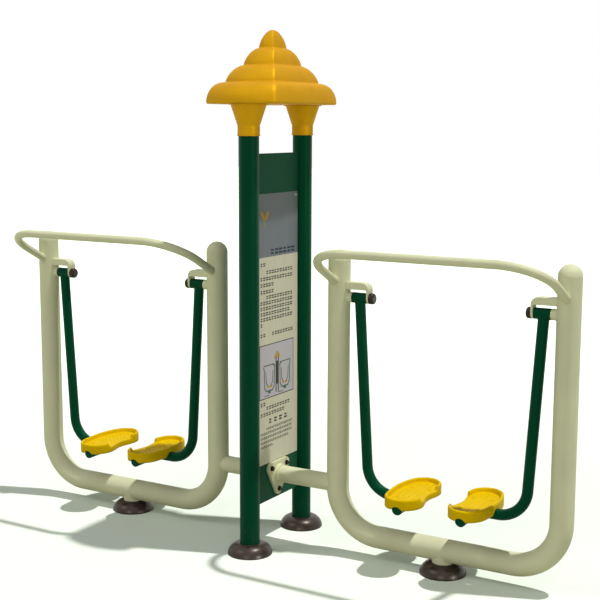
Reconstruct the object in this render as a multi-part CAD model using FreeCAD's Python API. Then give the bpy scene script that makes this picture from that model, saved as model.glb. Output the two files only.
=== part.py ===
"""Outdoor air walker: a sign tower between two U-shaped frames with four swinging foot pedals.

X runs along the two frames, Y along the tower's two posts with -Y towards the users, and Z is up.
The origin is on the ground, midway between the tower posts. All sizes are in millimetres.
"""
import FreeCAD, Part
import math
import os

from FreeCAD import Vector

X_AXIS = Vector(1, 0, 0)
Y_AXIS = Vector(0, 1, 0)
Z_AXIS = Vector(0, 0, 1)

# Overall layout
frame_spacing = 1740.0          # between the centres of the two frames, along X
frame_post_spacing = 1070.0     # between the two post axes of one frame
frame_post_height = 1412.0      # ground to the top of the post caps
tower_post_spacing = 462.0      # between the two tower post axes, along Y
roof_bottom = 2055.0            # ground to the roof's underside
pivot_drop = 213.0              # top of the post caps to the pivot axis
pedal_tube_height = 312.0       # ground to the middle of the tube under the pedal
pedal_spacing = 298.0           # between the axes of the two pedal tubes in one frame

# Frame tube
frame_tube_d = 102.0
frame_tube_wall = 4.0
frame_bottom_clearance = 54.5   # ground to the underside of the bottom run
frame_bend_radius = 212.0
tee_length = 158.0
foot_stub_d = 98.0
post_cap_wall = 3.0
post_cap_plug = 25.0            # length of the cap's plug inside the post
post_cap_gap = 0.2              # round the plug, on the radius

# Feet
base_plate_d = 184.0
base_plate_thickness = 10.0
anchor_circle_d = 142.0
anchor_hole_d = 14.0
anchor_count = 4
foot_cover_d = 207.0
foot_cover_height = 52.0
foot_cover_wall = 3.0
foot_cover_edge = 5.0           # straight edge at the ground
foot_cover_bulge = 14.5         # dome's arc above the straight line from its edge to the post
foot_cover_gap = 0.5            # between a cover and its post, on the radius

# Handrail
rail_tube_d = 38.0
rail_tube_wall = 2.5
rail_reach = 334.0              # post axis to the front bar's axis, along Y
rail_end_drop = 162.0           # top of the post caps to where the rail's axis meets the post axis
rail_rise = 180.5               # from there up to the front bar's axis
rail_bend_radius = 200.0

# Tower
tower_tube_d = 92.0
tower_tube_wall = 4.0
tower_post_into_roof = 30.0
panel_bottom = 210.0
panel_below_socket = 79.0       # panel's top edge to the sockets
panel_thickness = 6.0
sign_margin = 182.0             # panel edge to sign edge, above and below
sign_thickness = 2.0
sign_side_gap = 5.0             # sign edge to the post's surface
sign_corner_radius = 4.0
rivet_d = 5.0
rivet_head_d = 9.5
rivet_head_height = 1.6
rivet_tail_d = 7.0              # upset end behind the panel
rivet_tail_height = 2.0
rivet_inset = 16.0
rivet_rows = 3

# Roof
roof_offset_x = -18.0           # roof centre to the tower's middle
roof_half_x = 200.0             # brim at its widest
roof_half_y = 320.0
roof_corner_x = 180.0           # hip line at the brim
roof_corner_y = 281.0
roof_tier_3_half_x = 142.0      # same measure for the tiers above the brim, at their lower edge
roof_tier_2_half_x = 88.0
roof_tier_1_half_x = 42.0
roof_tip_half_x = 5.0
roof_brim_height = 97.0
roof_tier_3_height = 77.0
roof_tier_2_height = 77.5
roof_tier_1_height = 81.5
roof_edge_radius = 10.0         # rounding of the brim's lower edge
roof_edge_steps = 4             # sections round that edge
roof_side_steps = 6             # sections up each tier's side
roof_brim_fullness = 2.2        # 1 gives straight sides, 2 elliptical ones
roof_fullness = 1.55            # the same for the tiers above the brim
roof_wall = 4.0
roof_hole_clearance = 1.0
roof_socket_gap = 0.5           # on the radius, socket neck round the post
socket_height = 140.0
socket_neck_height = 45.0
socket_flare = 30.0             # neck's surface to the flare's widest, on the radius
socket_wall = 3.0
socket_lip = 1.5
socket_lip_height = 6.0
socket_flange_reach = 8.5       # flange past the flare, on the radius
socket_flange_thickness = 4.0
roof_screw_d = 5.0
roof_screw_head_d = 9.5
roof_screw_head_height = 2.6
roof_screw_length = 12.0
roof_screw_count = 4            # through each socket's flange

# Link between a frame and the tower panel
link_tube_d = 80.0
link_tube_wall = 4.0
link_height = 325.0
flange_thickness = 12.0
flange_bolt_circle_d = 150.0
flange_corner_radius = 27.0
collar_d = 92.0
collar_length = 18.0
flange_bolt_d = 12.0
flange_bolt_hole_d = 13.0
flange_bolt_end = 5.0           # past the nut
bolt_head_across = 19.0
bolt_head_height = 8.0
bolt_head_top_d = 18.0          # flat circle inside the chamfer
bolt_head_chamfer = 30.0        # degrees
washer_d = 24.0
washer_thickness = 2.5

# Pivot
boss_d = 48.0
boss_length = 20.5              # post surface to the boss's face
housing_d = 48.0
housing_length = 74.0
bearing_d = 37.0
bearing_bore = 20.0
bearing_width = 9.0
bearing_inset = 4.0             # housing end to bearing face
bearing_inner_race_d = 25.0
bearing_outer_race_d = 32.0
bearing_ball_d = 5.6
bearing_ball_count = 11
running_gap = 0.05              # on the radius
thrust_washer_d = 46.0
thrust_washer_thickness = 1.2
thrust_gap = 0.3
ear_thickness = 9.0
bracket_width = 48.0
bracket_arm_rise = 38.0         # pivot axis to the underside of the bracket's arm
bracket_arm_thickness = 32.0
bracket_outer_radius = 32.0
bracket_inner_radius = 6.0
axle_end = 1.0                  # past the nut
axle_nut_across = 30.0
axle_nut_height = 9.0
axle_washer_d = 34.0
axle_washer_thickness = 2.0
nut_cap_d = 50.0
nut_cap_height = 23.0
nut_cap_wall = 2.0
nut_cap_edge_radius = 10.0

# Swing arm
arm_tube_d = 48.0
arm_tube_wall = 3.0
arm_offset = 4.0                # middle of the housing to the arm's axis, towards the post
arm_lean = 3.5                  # degrees inwards going down
arm_bend_radius = 130.0

# Pedal and its carrier
pedal_pitch = 1.0               # degrees, heel up
carrier_length = 330.0
carrier_wall = 3.0
end_disc_thickness = 2.5
seat_plate_thickness = 5.0
seat_plate_rise = 0.5           # top of the carrier tube to the top of the seat plates
seat_plate_length = 120.0       # along X
seat_plate_width = 36.0         # along Y
seat_plate_y = 78.0             # plate centres, each side of the arm
pedal_floor_thickness = 4.0
pedal_rim_height = 20.0         # above the tread
pedal_rim_width = 14.0
pedal_rim_rounding = 3.0
pedal_skirt_wall = 4.0
pedal_skirt_depth = 27.5        # tread to the skirt's lower edge
pedal_toe_y = -177.0
pedal_heel_y = 195.0
pedal_end_rounding = 21.0       # toe or heel line back to its rounded corners
pedal_corner_share = 0.65       # where those corners are, as a share of the half width
pedal_outer_half = 92.0         # pedal axis to the outer side at the ball of the foot
pedal_outer_ball_y = -60.0
pedal_outer_heel = 79.0         # pedal axis to the outer side at the heel
pedal_inner_half = 82.0         # pedal axis to the inner side at the ball of the foot
pedal_inner_ball_y = -104.0
pedal_inner_heel = 75.0         # pedal axis to the inner side at the heel
pedal_heel_full_y = 129.0       # where the heel is widest
pedal_waist_half = 66.0         # pedal axis to the inner side at the waist
pedal_waist_y = 5.0
pedal_opening_front = -98.0     # the rim's two ends at the inner waist
pedal_opening_rear = 90.0
pedal_arch_gap = 4.0            # round the arm where it passes the skirt
pedal_toe_arch_radius = 28.0    # low arch in the skirt in front of the pedal tube's end
pedal_toe_arch_rise = 15.0       # its top above the skirt's lower edge
pedal_bolt_d = 8.0
pedal_bolt_head_d = 17.0
pedal_bolt_head_height = 3.0
pedal_bolt_end = 3.0            # past the nut
pedal_bolt_spacing_x = 84.0
pedal_nut_across = 13.0
pedal_nut_height = 6.5
tread_stud_d = 13.0
tread_stud_height = 2.0
tread_stud_pitch_x = 27.0
tread_stud_pitch_y = 28.0
tread_stud_margin = 2.0         # studs to bolt heads
tread_stud_root = 1.0           # depth to which a stud is one with the floor

# Cutting
cutter_reach = 1.0              # how far a cutter goes past the face it cuts through
first_hole_angle = 45.0         # of the anchor holes and the roof screws, from +X

# Worked out from the sizes above
frame_x = frame_spacing / 2
post_x = frame_post_spacing / 2
post_radius = frame_tube_d / 2
post_straight_top = frame_post_height - post_radius
frame_bottom_height = frame_bottom_clearance + post_radius
pivot_height = frame_post_height - pivot_drop
rail_end_height = frame_post_height - rail_end_drop
rail_height = rail_end_height + rail_rise
tower_y = tower_post_spacing / 2
tower_radius = tower_tube_d / 2
tower_post_height = roof_bottom + tower_post_into_roof
socket_neck_radius = tower_radius + roof_socket_gap + socket_wall
socket_top_radius = socket_neck_radius + socket_flare
socket_flange_radius = socket_top_radius + socket_flange_reach
socket_bottom = roof_bottom - socket_height
socket_neck_top = socket_bottom + socket_neck_height
panel_top = socket_bottom - panel_below_socket
panel_face = panel_thickness / 2
sign_bottom = panel_bottom + sign_margin
sign_top = panel_top - sign_margin
boss_face = post_x - post_radius - boss_length
housing_outer_end = boss_face - thrust_washer_thickness - thrust_gap
housing_inner_end = housing_outer_end - housing_length
ear_face = housing_inner_end - thrust_gap - thrust_washer_thickness
ear_back = ear_face - ear_thickness
bracket_arm_bottom = pivot_height + bracket_arm_rise
bracket_arm_top = bracket_arm_bottom + bracket_arm_thickness
arm_top_x = (housing_inner_end + housing_outer_end) / 2 + arm_offset
pedal_x = pedal_spacing / 2
seat_top = pedal_tube_height + arm_tube_d / 2 + seat_plate_rise
tread = seat_top + pedal_floor_thickness
quarter_turn = 1 - math.sqrt(0.5)   # how far the middle of a corner's arc is from its tangent lines
frames = {"left": -frame_x, "right": frame_x}
arms = {
    "arm_1": (-frame_x, -1),
    "arm_2": (-frame_x, 1),
    "arm_3": (frame_x, -1),
    "arm_4": (frame_x, 1),
}


def cylinder(radius, start, end):
    """Solid cylinder between two points."""
    direction = end - start
    return Part.makeCylinder(radius, direction.Length, start, direction)


def pipe(outer_radius, inner_radius, start, end):
    """Straight tube between two points."""
    return cylinder(outer_radius, start, end).cut(cylinder(inner_radius, start, end))


def group(shapes):
    """Separate solids kept together in one sub-part."""
    return Part.makeCompound(shapes)


def bent_path(points, radius):
    """Wire of straight runs joined by tangent arcs of one radius."""
    edges = []
    start = points[0]
    for before, corner, after in zip(points, points[1:], points[2:]):
        back = (before - corner).normalize()
        forward = (after - corner).normalize()
        half_angle = back.getAngle(forward) / 2
        setback = radius / math.tan(half_angle)
        middle_direction = (back + forward).normalize()
        centre = corner + middle_direction * (radius / math.sin(half_angle))
        arc_start = corner + back * setback
        arc_end = corner + forward * setback
        arc_middle = centre - middle_direction * radius
        edges.append(Part.LineSegment(start, arc_start).toShape())
        edges.append(Part.Arc(arc_start, arc_middle, arc_end).toShape())
        start = arc_end
    edges.append(Part.LineSegment(start, points[-1]).toShape())
    return Part.Wire(edges)


def swept_rod(points, bend_radius, radius):
    """Round bar along a bent path."""
    path = bent_path(points, bend_radius)
    first_run = points[1] - points[0]
    profile = Part.Wire(Part.makeCircle(radius, points[0], first_run))
    return path.makePipeShell([profile], True, False)


def swept_tube(points, bend_radius, diameter, wall):
    """Round tube along a bent path."""
    outer = swept_rod(points, bend_radius, diameter / 2)
    bore = swept_rod(points, bend_radius, diameter / 2 - wall)
    return outer.cut(bore)


def turned(points, axis_point, axis):
    """Solid of revolution from a closed outline given as points and three-point arcs."""
    edges = []
    for start, end in zip(points, points[1:] + points[:1]):
        if len(end) == 2:
            edges.append(Part.Arc(start[-1], end[0], end[1]).toShape())
        elif start[-1].distanceToPoint(end[0]) > 0:
            edges.append(Part.LineSegment(start[-1], end[0]).toShape())
    face = Part.Face(Part.Wire(edges))
    return face.revolve(axis_point, axis, 360)


def dome(radius, height, base, direction):
    """Round head with a spherical top, standing on a plane."""
    sphere_radius = (radius ** 2 + height ** 2) / (2 * height)
    ball = Part.makeSphere(sphere_radius, base - direction * (sphere_radius - height))
    return ball.common(cylinder(radius, base, base + direction * height))


def hexagon_prism(across_flats, height, base, direction):
    """Hexagonal nut or bolt head body."""
    corner_radius = across_flats / math.sqrt(3)
    corners = []
    for step in range(7):
        angle = math.radians(60 * step)
        corners.append(Vector(corner_radius * math.cos(angle), corner_radius * math.sin(angle), 0))
    prism = Part.Face(Part.makePolygon(corners)).extrude(Vector(0, 0, height))
    prism.Placement = FreeCAD.Placement(base, FreeCAD.Rotation(Z_AXIS, direction))
    return prism


def mirrored_x(shape):
    """The same piece for the other side of the YZ plane."""
    return shape.mirror(Vector(0, 0, 0), X_AXIS)


def moved(shape, x=0.0, y=0.0, z=0.0):
    """Copy of a shape at another place."""
    copy = shape.copy()
    copy.translate(Vector(x, y, z))
    return copy


def for_side(shape, side):
    """A piece drawn on the +X side of a frame, or its mirror image."""
    return shape.copy() if side > 0 else mirrored_x(shape)


def at_each_pivot(shape):
    """A piece drawn at the +X pivot of a frame centred on the origin, at all four pivots."""
    return group([moved(for_side(shape, side), x=x) for x, side in arms.values()])


# Tower

def tower_post(y):
    """Tower post, from its base plate up into the roof."""
    bottom = Vector(0, y, base_plate_thickness)
    return pipe(tower_radius, tower_radius - tower_tube_wall, bottom, Vector(0, y, tower_post_height))


def tower_panel():
    """Plate between the two posts, coped to their round surfaces and drilled for the flange bolts."""
    height = panel_top - panel_bottom
    corner = Vector(-panel_face, -tower_y, panel_bottom)
    panel = Part.makeBox(panel_thickness, tower_post_spacing, height, corner)
    for y in (-tower_y, tower_y):
        post = cylinder(tower_radius, Vector(0, y, panel_bottom), Vector(0, y, panel_top))
        panel = panel.cut(post)
    for y, z in flange_bolt_places():
        panel = panel.cut(drill_x(flange_bolt_hole_d, y, z, -panel_thickness, panel_thickness))
    for y, z in rivet_places():
        panel = panel.cut(drill_x(rivet_d, y, z, -panel_thickness, panel_thickness))
    return panel


def drill_x(diameter, y, z, x_start, x_end):
    """Cutter for a hole along X."""
    return cylinder(diameter / 2, Vector(x_start, y, z), Vector(x_end, y, z))


def sign_half_width():
    """Half of the sign's width, from the posts' surfaces at the panel."""
    return tower_y - tower_radius - sign_side_gap


def rivet_places():
    """Rivets down both long edges of the sign."""
    y = sign_half_width() - rivet_inset
    low = sign_bottom + rivet_inset
    high = sign_top - rivet_inset
    rows = [low + (high - low) * row / (rivet_rows - 1) for row in range(rivet_rows)]
    return [(side * y, z) for z in rows for side in (-1, 1)]


def sign_plate():
    """Thin sign plate riveted to the panel's +X face."""
    half_width = sign_half_width()
    corner = Vector(panel_face, -half_width, sign_bottom)
    plate = Part.makeBox(sign_thickness, 2 * half_width, sign_top - sign_bottom, corner)
    corners = [edge for edge in plate.Edges if abs(edge.Length - sign_thickness) < 0.001]
    plate = plate.makeFillet(sign_corner_radius, corners)
    for y, z in rivet_places():
        plate = plate.cut(drill_x(rivet_d, y, z, 0, panel_face + sign_thickness * 2))
    return plate


def sign_rivets():
    """Domed blind rivets through the sign and the panel."""
    rivets = []
    face = panel_face + sign_thickness
    for y, z in rivet_places():
        shank = cylinder(rivet_d / 2, Vector(-panel_face, y, z), Vector(face, y, z))
        head = dome(rivet_head_d / 2, rivet_head_height, Vector(face, y, z), X_AXIS)
        tail_end = Vector(-panel_face - rivet_tail_height, y, z)
        tail = cylinder(rivet_tail_d / 2, tail_end, Vector(-panel_face, y, z))
        rivets.append(shank.fuse([head, tail]).removeSplitter())
    return group(rivets)


# Roof

def roof_outline(half_x, z, inset):
    """Bulged rectangle of four arcs that meet in the hip lines, sized by its half width along X."""
    scale = half_x / roof_half_x
    corner_x = roof_corner_x * scale - inset
    corner_y = roof_corner_y * scale - inset
    side = roof_half_x * scale - inset
    front = roof_half_y * scale - inset
    corners = [Vector(corner_x, -corner_y, z), Vector(corner_x, corner_y, z)]
    corners += [Vector(-corner_x, corner_y, z), Vector(-corner_x, -corner_y, z)]
    middles = [Vector(side, 0, z), Vector(0, front, z), Vector(-side, 0, z), Vector(0, -front, z)]
    edges = []
    for index, middle in enumerate(middles):
        edges.append(Part.Arc(corners[index], middle, corners[(index + 1) % 4]).toShape())
    return Part.Wire(edges)


def roof_tiers():
    """Each tier as its lower height, upper height, lower half width and upper half width."""
    heights = [roof_brim_height, roof_tier_3_height, roof_tier_2_height, roof_tier_1_height]
    widths = [roof_half_x, roof_tier_3_half_x, roof_tier_2_half_x, roof_tier_1_half_x, roof_tip_half_x]
    tiers = []
    bottom = roof_bottom
    for index, height in enumerate(heights):
        tiers.append((bottom, bottom + height, widths[index], widths[index + 1]))
        bottom += height
    return tiers


def tier_side(tier, fullness):
    """Half widths and heights up one tier's convex side, evenly round its curve."""
    bottom, top, wide, narrow = tier
    sections = []
    for step in range(roof_side_steps + 1):
        angle = math.pi / 2 * step / roof_side_steps
        out = max(math.cos(angle), 0.0) ** (2 / fullness)
        up = math.sin(angle) ** (2 / fullness)
        sections.append((narrow + (wide - narrow) * out, bottom + (top - bottom) * up))
    return sections


def brim_edge():
    """Half widths and heights round the brim's lower edge, from its underside up."""
    sections = []
    for step in range(roof_edge_steps + 1):
        angle = math.pi / 2 * step / roof_edge_steps
        half_x = roof_half_x - roof_edge_radius * (1 - math.sin(angle))
        sections.append((half_x, roof_bottom + roof_edge_radius * (1 - math.cos(angle))))
    return sections


def roof_loft(sections, inset, ruled):
    """Solid through level sections, smaller by an inset all round."""
    wires = [roof_outline(half_x, z - inset, inset) for half_x, z in sections]
    return Part.makeLoft(wires, True, ruled)


def roof_body(tier_count, inset=0.0):
    """The brim with its rounded lower edge, and the tiers above it, counted from the bottom."""
    bottom, top, wide, narrow = roof_tiers()[0]
    brim = (bottom + roof_edge_radius, top, wide, narrow)
    solids = [roof_loft(brim_edge(), inset, True)]
    solids.append(roof_loft(tier_side(brim, roof_brim_fullness), inset, False))
    for tier in roof_tiers()[1:tier_count]:
        solids.append(roof_loft(tier_side(tier, roof_fullness), inset, False))
    body = solids[0].fuse(solids[1:]).removeSplitter()
    return moved(body, x=roof_offset_x)


def roof_cap():
    """Hollow moulded roof with a flat underside that the posts pass through."""
    tier_count = len(roof_tiers())
    cap = roof_body(tier_count).cut(roof_void(tier_count - 1))
    hole_radius = tower_radius + roof_hole_clearance
    for y in (-tower_y, tower_y):
        low = Vector(0, y, roof_bottom - roof_wall)
        cap = cap.cut(cylinder(hole_radius, low, Vector(0, y, roof_bottom + 2 * roof_wall)))
        for x_screw, y_screw in roof_screw_places(y):
            start = Vector(x_screw, y_screw, roof_bottom - roof_wall)
            end = Vector(x_screw, y_screw, roof_bottom + 2 * roof_wall)
            cap = cap.cut(cylinder(roof_screw_d / 2, start, end))
    return cap


def roof_void(tier_count):
    """The hollow inside the roof's lower tiers, above its flat underside."""
    void = roof_body(tier_count, roof_wall)
    size = 2 * roof_half_y
    floor = Part.makeBox(size, size, 3 * roof_wall, Vector(-size / 2, -size / 2, roof_bottom - 2 * roof_wall))
    return void.cut(floor)


def roof_screw_places(y):
    """Screws round one socket's flange."""
    radius = (socket_flange_radius + tower_radius + roof_hole_clearance) / 2
    places = []
    for step in range(roof_screw_count):
        angle = math.radians(first_hole_angle + 360 * step / roof_screw_count)
        places.append((radius * math.cos(angle), y + radius * math.sin(angle)))
    return places


def socket_outline(inset):
    """Neck radius, top radius and the flange's underside of a socket, drawn in by an inset."""
    neck = socket_neck_radius - inset
    top = socket_top_radius - inset
    flange_under = roof_bottom - socket_flange_thickness
    return neck, top, flange_under


def roof_socket(y):
    """Flared socket between a post and the roof, with a neck round the post and a top flange."""
    neck, top, flange_under = socket_outline(0)
    outer = cylinder(neck, Vector(0, y, socket_bottom), Vector(0, y, socket_neck_top))
    flare_height = flange_under - socket_neck_top
    outer = outer.fuse(Part.makeCone(neck, top, flare_height, Vector(0, y, socket_neck_top)))
    flange = cylinder(socket_flange_radius, Vector(0, y, flange_under), Vector(0, y, roof_bottom))
    lip_top = Vector(0, y, socket_bottom + socket_lip_height)
    lip = cylinder(neck + socket_lip, Vector(0, y, socket_bottom), lip_top)
    outer = outer.fuse([flange, lip])
    inner_neck, inner_top = socket_outline(socket_wall)[:2]
    bore = cylinder(inner_neck, Vector(0, y, socket_bottom), Vector(0, y, roof_bottom))
    hollow = Part.makeCone(inner_neck, inner_top, flare_height, Vector(0, y, socket_neck_top))
    socket = outer.cut(bore.fuse(hollow))
    for x_screw, y_screw in roof_screw_places(y):
        start = Vector(x_screw, y_screw, flange_under)
        socket = socket.cut(cylinder(roof_screw_d / 2, start, Vector(x_screw, y_screw, roof_bottom)))
    return socket.removeSplitter()


def roof_screws():
    """Pan-head screws up through each socket's flange into the roof."""
    screws = []
    for y in (-tower_y, tower_y):
        for x_screw, y_screw in roof_screw_places(y):
            under = roof_bottom - socket_flange_thickness
            tip = Vector(x_screw, y_screw, under + roof_screw_length)
            shank = cylinder(roof_screw_d / 2, Vector(x_screw, y_screw, under), tip)
            head_bottom = Vector(x_screw, y_screw, under - roof_screw_head_height)
            head = cylinder(roof_screw_head_d / 2, head_bottom, Vector(x_screw, y_screw, under))
            screws.append(shank.fuse(head).removeSplitter())
    return group(screws)


# Feet

def feet():
    """Places of the four feet, with the radius of the post on each."""
    places = [(0, -tower_y, tower_radius), (0, tower_y, tower_radius)]
    places += [(-frame_x, 0, foot_stub_d / 2), (frame_x, 0, foot_stub_d / 2)]
    return places


def base_plate(x, y):
    """Round plate on the ground with a circle of anchor holes."""
    ground = Vector(x, y, 0)
    plate = cylinder(base_plate_d / 2, ground, Vector(x, y, base_plate_thickness))
    for step in range(anchor_count):
        angle = math.radians(first_hole_angle + 360 * step / anchor_count)
        hole_x = x + anchor_circle_d / 2 * math.cos(angle)
        hole_y = y + anchor_circle_d / 2 * math.sin(angle)
        top = Vector(hole_x, hole_y, base_plate_thickness)
        plate = plate.cut(cylinder(anchor_hole_d / 2, Vector(hole_x, hole_y, 0), top))
    return plate


def foot_cover(x, y, radius):
    """Domed cover round a post, standing on the ground over the base plate."""
    opening = radius + foot_cover_gap
    outer = foot_cover_d / 2
    height = foot_cover_height
    wall = foot_cover_wall
    base = Vector(outer, 0, foot_cover_edge)
    top = Vector(opening, 0, height)
    chord = (top - base).normalize()
    outwards = Vector(chord.z, 0, -chord.x)
    middle = (base + top) / 2 + outwards * foot_cover_bulge
    outline = [
        (Vector(outer, 0, 0),),
        (base,),
        (middle, top),
        (top - Z_AXIS * wall,),
        (middle - outwards * wall, base - X_AXIS * wall),
        (Vector(outer - wall, 0, 0),),
    ]
    return moved(turned(outline, Vector(0, 0, 0), Z_AXIS), x=x, y=y)


# Frames

def j_tube(side):
    """Post, bend and half of the bottom run, for a frame centred on the origin."""
    points = [
        Vector(side * post_x, 0, post_straight_top),
        Vector(side * post_x, 0, frame_bottom_height),
        Vector(side * tee_length / 2, 0, frame_bottom_height),
    ]
    return swept_tube(points, frame_bend_radius, frame_tube_d, frame_tube_wall)


def bottom_tee():
    """Short tube in the middle of the bottom run."""
    start = Vector(-tee_length / 2, 0, frame_bottom_height)
    end = Vector(tee_length / 2, 0, frame_bottom_height)
    return pipe(post_radius, post_radius - frame_tube_wall, start, end)


def foot_stub():
    """Upright stub from the base plate to the underside of the tee, coped to it."""
    start = Vector(0, 0, base_plate_thickness)
    end = Vector(0, 0, frame_bottom_height)
    stub = pipe(foot_stub_d / 2, foot_stub_d / 2 - frame_tube_wall, start, end)
    run_start = Vector(-tee_length, 0, frame_bottom_height)
    run_end = Vector(tee_length, 0, frame_bottom_height)
    return stub.cut(cylinder(post_radius, run_start, run_end))


def post_cap():
    """Hemispherical cap with a plug that fits inside the post's top."""
    inner = post_radius - post_cap_wall
    centre = Vector(0, 0, post_straight_top)
    shell = Part.makeSphere(post_radius, centre, Z_AXIS, 0, 90, 360)
    hollow = Part.makeSphere(inner, centre, Z_AXIS, 0, 90, 360)
    plug_radius = post_radius - frame_tube_wall - post_cap_gap
    plug_bottom = centre - Z_AXIS * post_cap_plug
    plug = cylinder(plug_radius, plug_bottom, centre)
    bore = cylinder(plug_radius - post_cap_wall, plug_bottom, centre + Z_AXIS * cutter_reach)
    seat = shell.common(cylinder(post_radius, centre, centre + Z_AXIS * post_cap_wall))
    return shell.cut(hollow).fuse([plug, seat]).cut(bore).removeSplitter()


def post_cutter(side, height_low, height_high):
    """Round bar the size of a frame post, used to cope what is welded to it."""
    low = Vector(side * post_x, 0, height_low)
    return cylinder(post_radius, low, Vector(side * post_x, 0, height_high))


def handrail():
    """Handrail of a frame centred on the origin, its ends coped to the posts."""
    points = [
        Vector(-post_x, 0, rail_end_height),
        Vector(-post_x, -rail_reach, rail_height),
        Vector(post_x, -rail_reach, rail_height),
        Vector(post_x, 0, rail_end_height),
    ]
    rail = swept_tube(points, rail_bend_radius, rail_tube_d, rail_tube_wall)
    for side in (-1, 1):
        rail = rail.cut(post_cutter(side, 0, frame_post_height))
    return rail


# Link between the frames and the tower

def flange_bolt_places():
    """Three bolts on a circle, two above and one below."""
    radius = flange_bolt_circle_d / 2
    places = []
    for degrees in (30, 150, 270):
        angle = math.radians(degrees)
        places.append((radius * math.cos(angle), link_height + radius * math.sin(angle)))
    return places


def link_flange():
    """Three-cornered flange with a collar, on the panel's +X face."""
    face = panel_face
    outline = rounded_triangle(flange_bolt_places(), flange_corner_radius, face)
    flange = Part.Face(outline).extrude(Vector(flange_thickness, 0, 0))
    collar_start = Vector(face, 0, link_height)
    collar_end = Vector(face + flange_thickness + collar_length, 0, link_height)
    flange = flange.fuse(cylinder(collar_d / 2, collar_start, collar_end))
    seat_start = Vector(face + flange_thickness, 0, link_height)
    flange = flange.cut(cylinder(link_tube_d / 2, seat_start, collar_end))
    bore_radius = link_tube_d / 2 - link_tube_wall
    flange = flange.cut(cylinder(bore_radius, collar_start, collar_end))
    for y, z in flange_bolt_places():
        hole = drill_x(flange_bolt_hole_d, y, z, face, face + flange_thickness)
        flange = flange.cut(hole)
    return flange.removeSplitter()


def rounded_triangle(places, radius, x):
    """Outline round three circles, in a plane across X."""
    centre_y = sum(place[0] for place in places) / 3
    centre_z = sum(place[1] for place in places) / 3
    edges = []
    previous = None
    first = None
    for index, (y, z) in enumerate(places):
        next_y, next_z = places[(index + 1) % 3]
        last_y, last_z = places[index - 1]
        start = Vector(0, z - last_z, -(y - last_y)).normalize() * radius
        end = Vector(0, next_z - z, -(next_y - y)).normalize() * radius
        out = Vector(0, y - centre_y, z - centre_z).normalize() * radius
        hub = Vector(x, y, z)
        arc = Part.Arc(hub + start, hub + out, hub + end).toShape()
        if previous is None:
            first = hub + start
        else:
            edges.append(Part.LineSegment(previous, hub + start).toShape())
        edges.append(arc)
        previous = hub + end
    edges.append(Part.LineSegment(previous, first).toShape())
    return Part.Wire(edges)


def link_tube():
    """Tube from the flange's seat to the frame's inner post, on the +X side."""
    seat = panel_face + flange_thickness
    start = Vector(seat, 0, link_height)
    post_axis = frame_x - post_x
    end = Vector(post_axis, 0, link_height)
    tube = pipe(link_tube_d / 2, link_tube_d / 2 - link_tube_wall, start, end)
    low = Vector(post_axis, 0, 0)
    post = cylinder(post_radius, low, Vector(post_axis, 0, frame_post_height))
    return tube.cut(post)


def washer_x(diameter, hole, thickness, x, y, z):
    """Flat washer across X, starting at x."""
    start = Vector(x, y, z)
    return pipe(diameter / 2, hole / 2, start, Vector(x + thickness, y, z))


def flange_bolts():
    """Hexagon bolts with their washers, heads on the +X side."""
    bolts = []
    seat = panel_face + flange_thickness
    under_head = seat + washer_thickness
    tip = -under_head - bolt_head_height - flange_bolt_end
    for y, z in flange_bolt_places():
        shank = cylinder(flange_bolt_d / 2, Vector(tip, y, z), Vector(under_head, y, z))
        head = hexagon_prism(bolt_head_across, bolt_head_height, Vector(under_head, y, z), X_AXIS)
        head = head.common(head_chamfer(Vector(under_head, y, z)))
        bolts.append(shank.fuse(head).removeSplitter())
        bolts.append(washer_x(washer_d, flange_bolt_d, washer_thickness, seat, y, z))
    return group(bolts)


def head_chamfer(base):
    """Cone that chamfers a hexagon head's outer corners."""
    top = bolt_head_top_d / 2
    wide = top + bolt_head_height / math.tan(math.radians(bolt_head_chamfer))
    return Part.makeCone(wide, top, bolt_head_height, base, X_AXIS)


def flange_nuts():
    """Hexagon nuts with their washers, on the -X side."""
    nuts = []
    seat = -panel_face - flange_thickness
    for y, z in flange_bolt_places():
        nuts.append(washer_x(washer_d, flange_bolt_d, washer_thickness, seat - washer_thickness, y, z))
        start = Vector(seat - washer_thickness, y, z)
        nut = hexagon_prism(bolt_head_across, bolt_head_height, start, Vector(-1, 0, 0))
        nut = nut.cut(cylinder(flange_bolt_d / 2, start, start - Vector(bolt_head_height, 0, 0)))
        nuts.append(nut)
    return group(nuts)


# Pivots, each drawn at the +X post of a frame centred on the origin

def pivot_point(x):
    """Point on the pivot axis."""
    return Vector(x, 0, pivot_height)


def pivot_boss():
    """Round boss welded to the post, holding the axle's fixed end."""
    outer = cylinder(boss_d / 2, pivot_point(boss_face), pivot_point(post_x))
    boss = outer.cut(cylinder(bearing_bore / 2, pivot_point(boss_face), pivot_point(post_x)))
    return boss.cut(post_cutter(1, 0, frame_post_height))


def pivot_bracket():
    """Hook from the post over the bearing housing, ending in a round-bottomed ear."""
    bar = Part.Face(hook_profile()).extrude(Y_AXIS * bracket_width)
    ear_radius = bracket_width / 2
    start = ear_back - cutter_reach
    ear = cylinder(ear_radius, pivot_point(start), pivot_point(post_x))
    corner = Vector(start, -ear_radius, pivot_height)
    above = Part.makeBox(post_x, bracket_width, frame_post_height, corner)
    bar = bar.common(ear.fuse(above))
    bar = bar.cut(cylinder(bearing_bore / 2, pivot_point(start), pivot_point(ear_face + cutter_reach)))
    return bar.cut(post_cutter(1, 0, frame_post_height)).removeSplitter()


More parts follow.
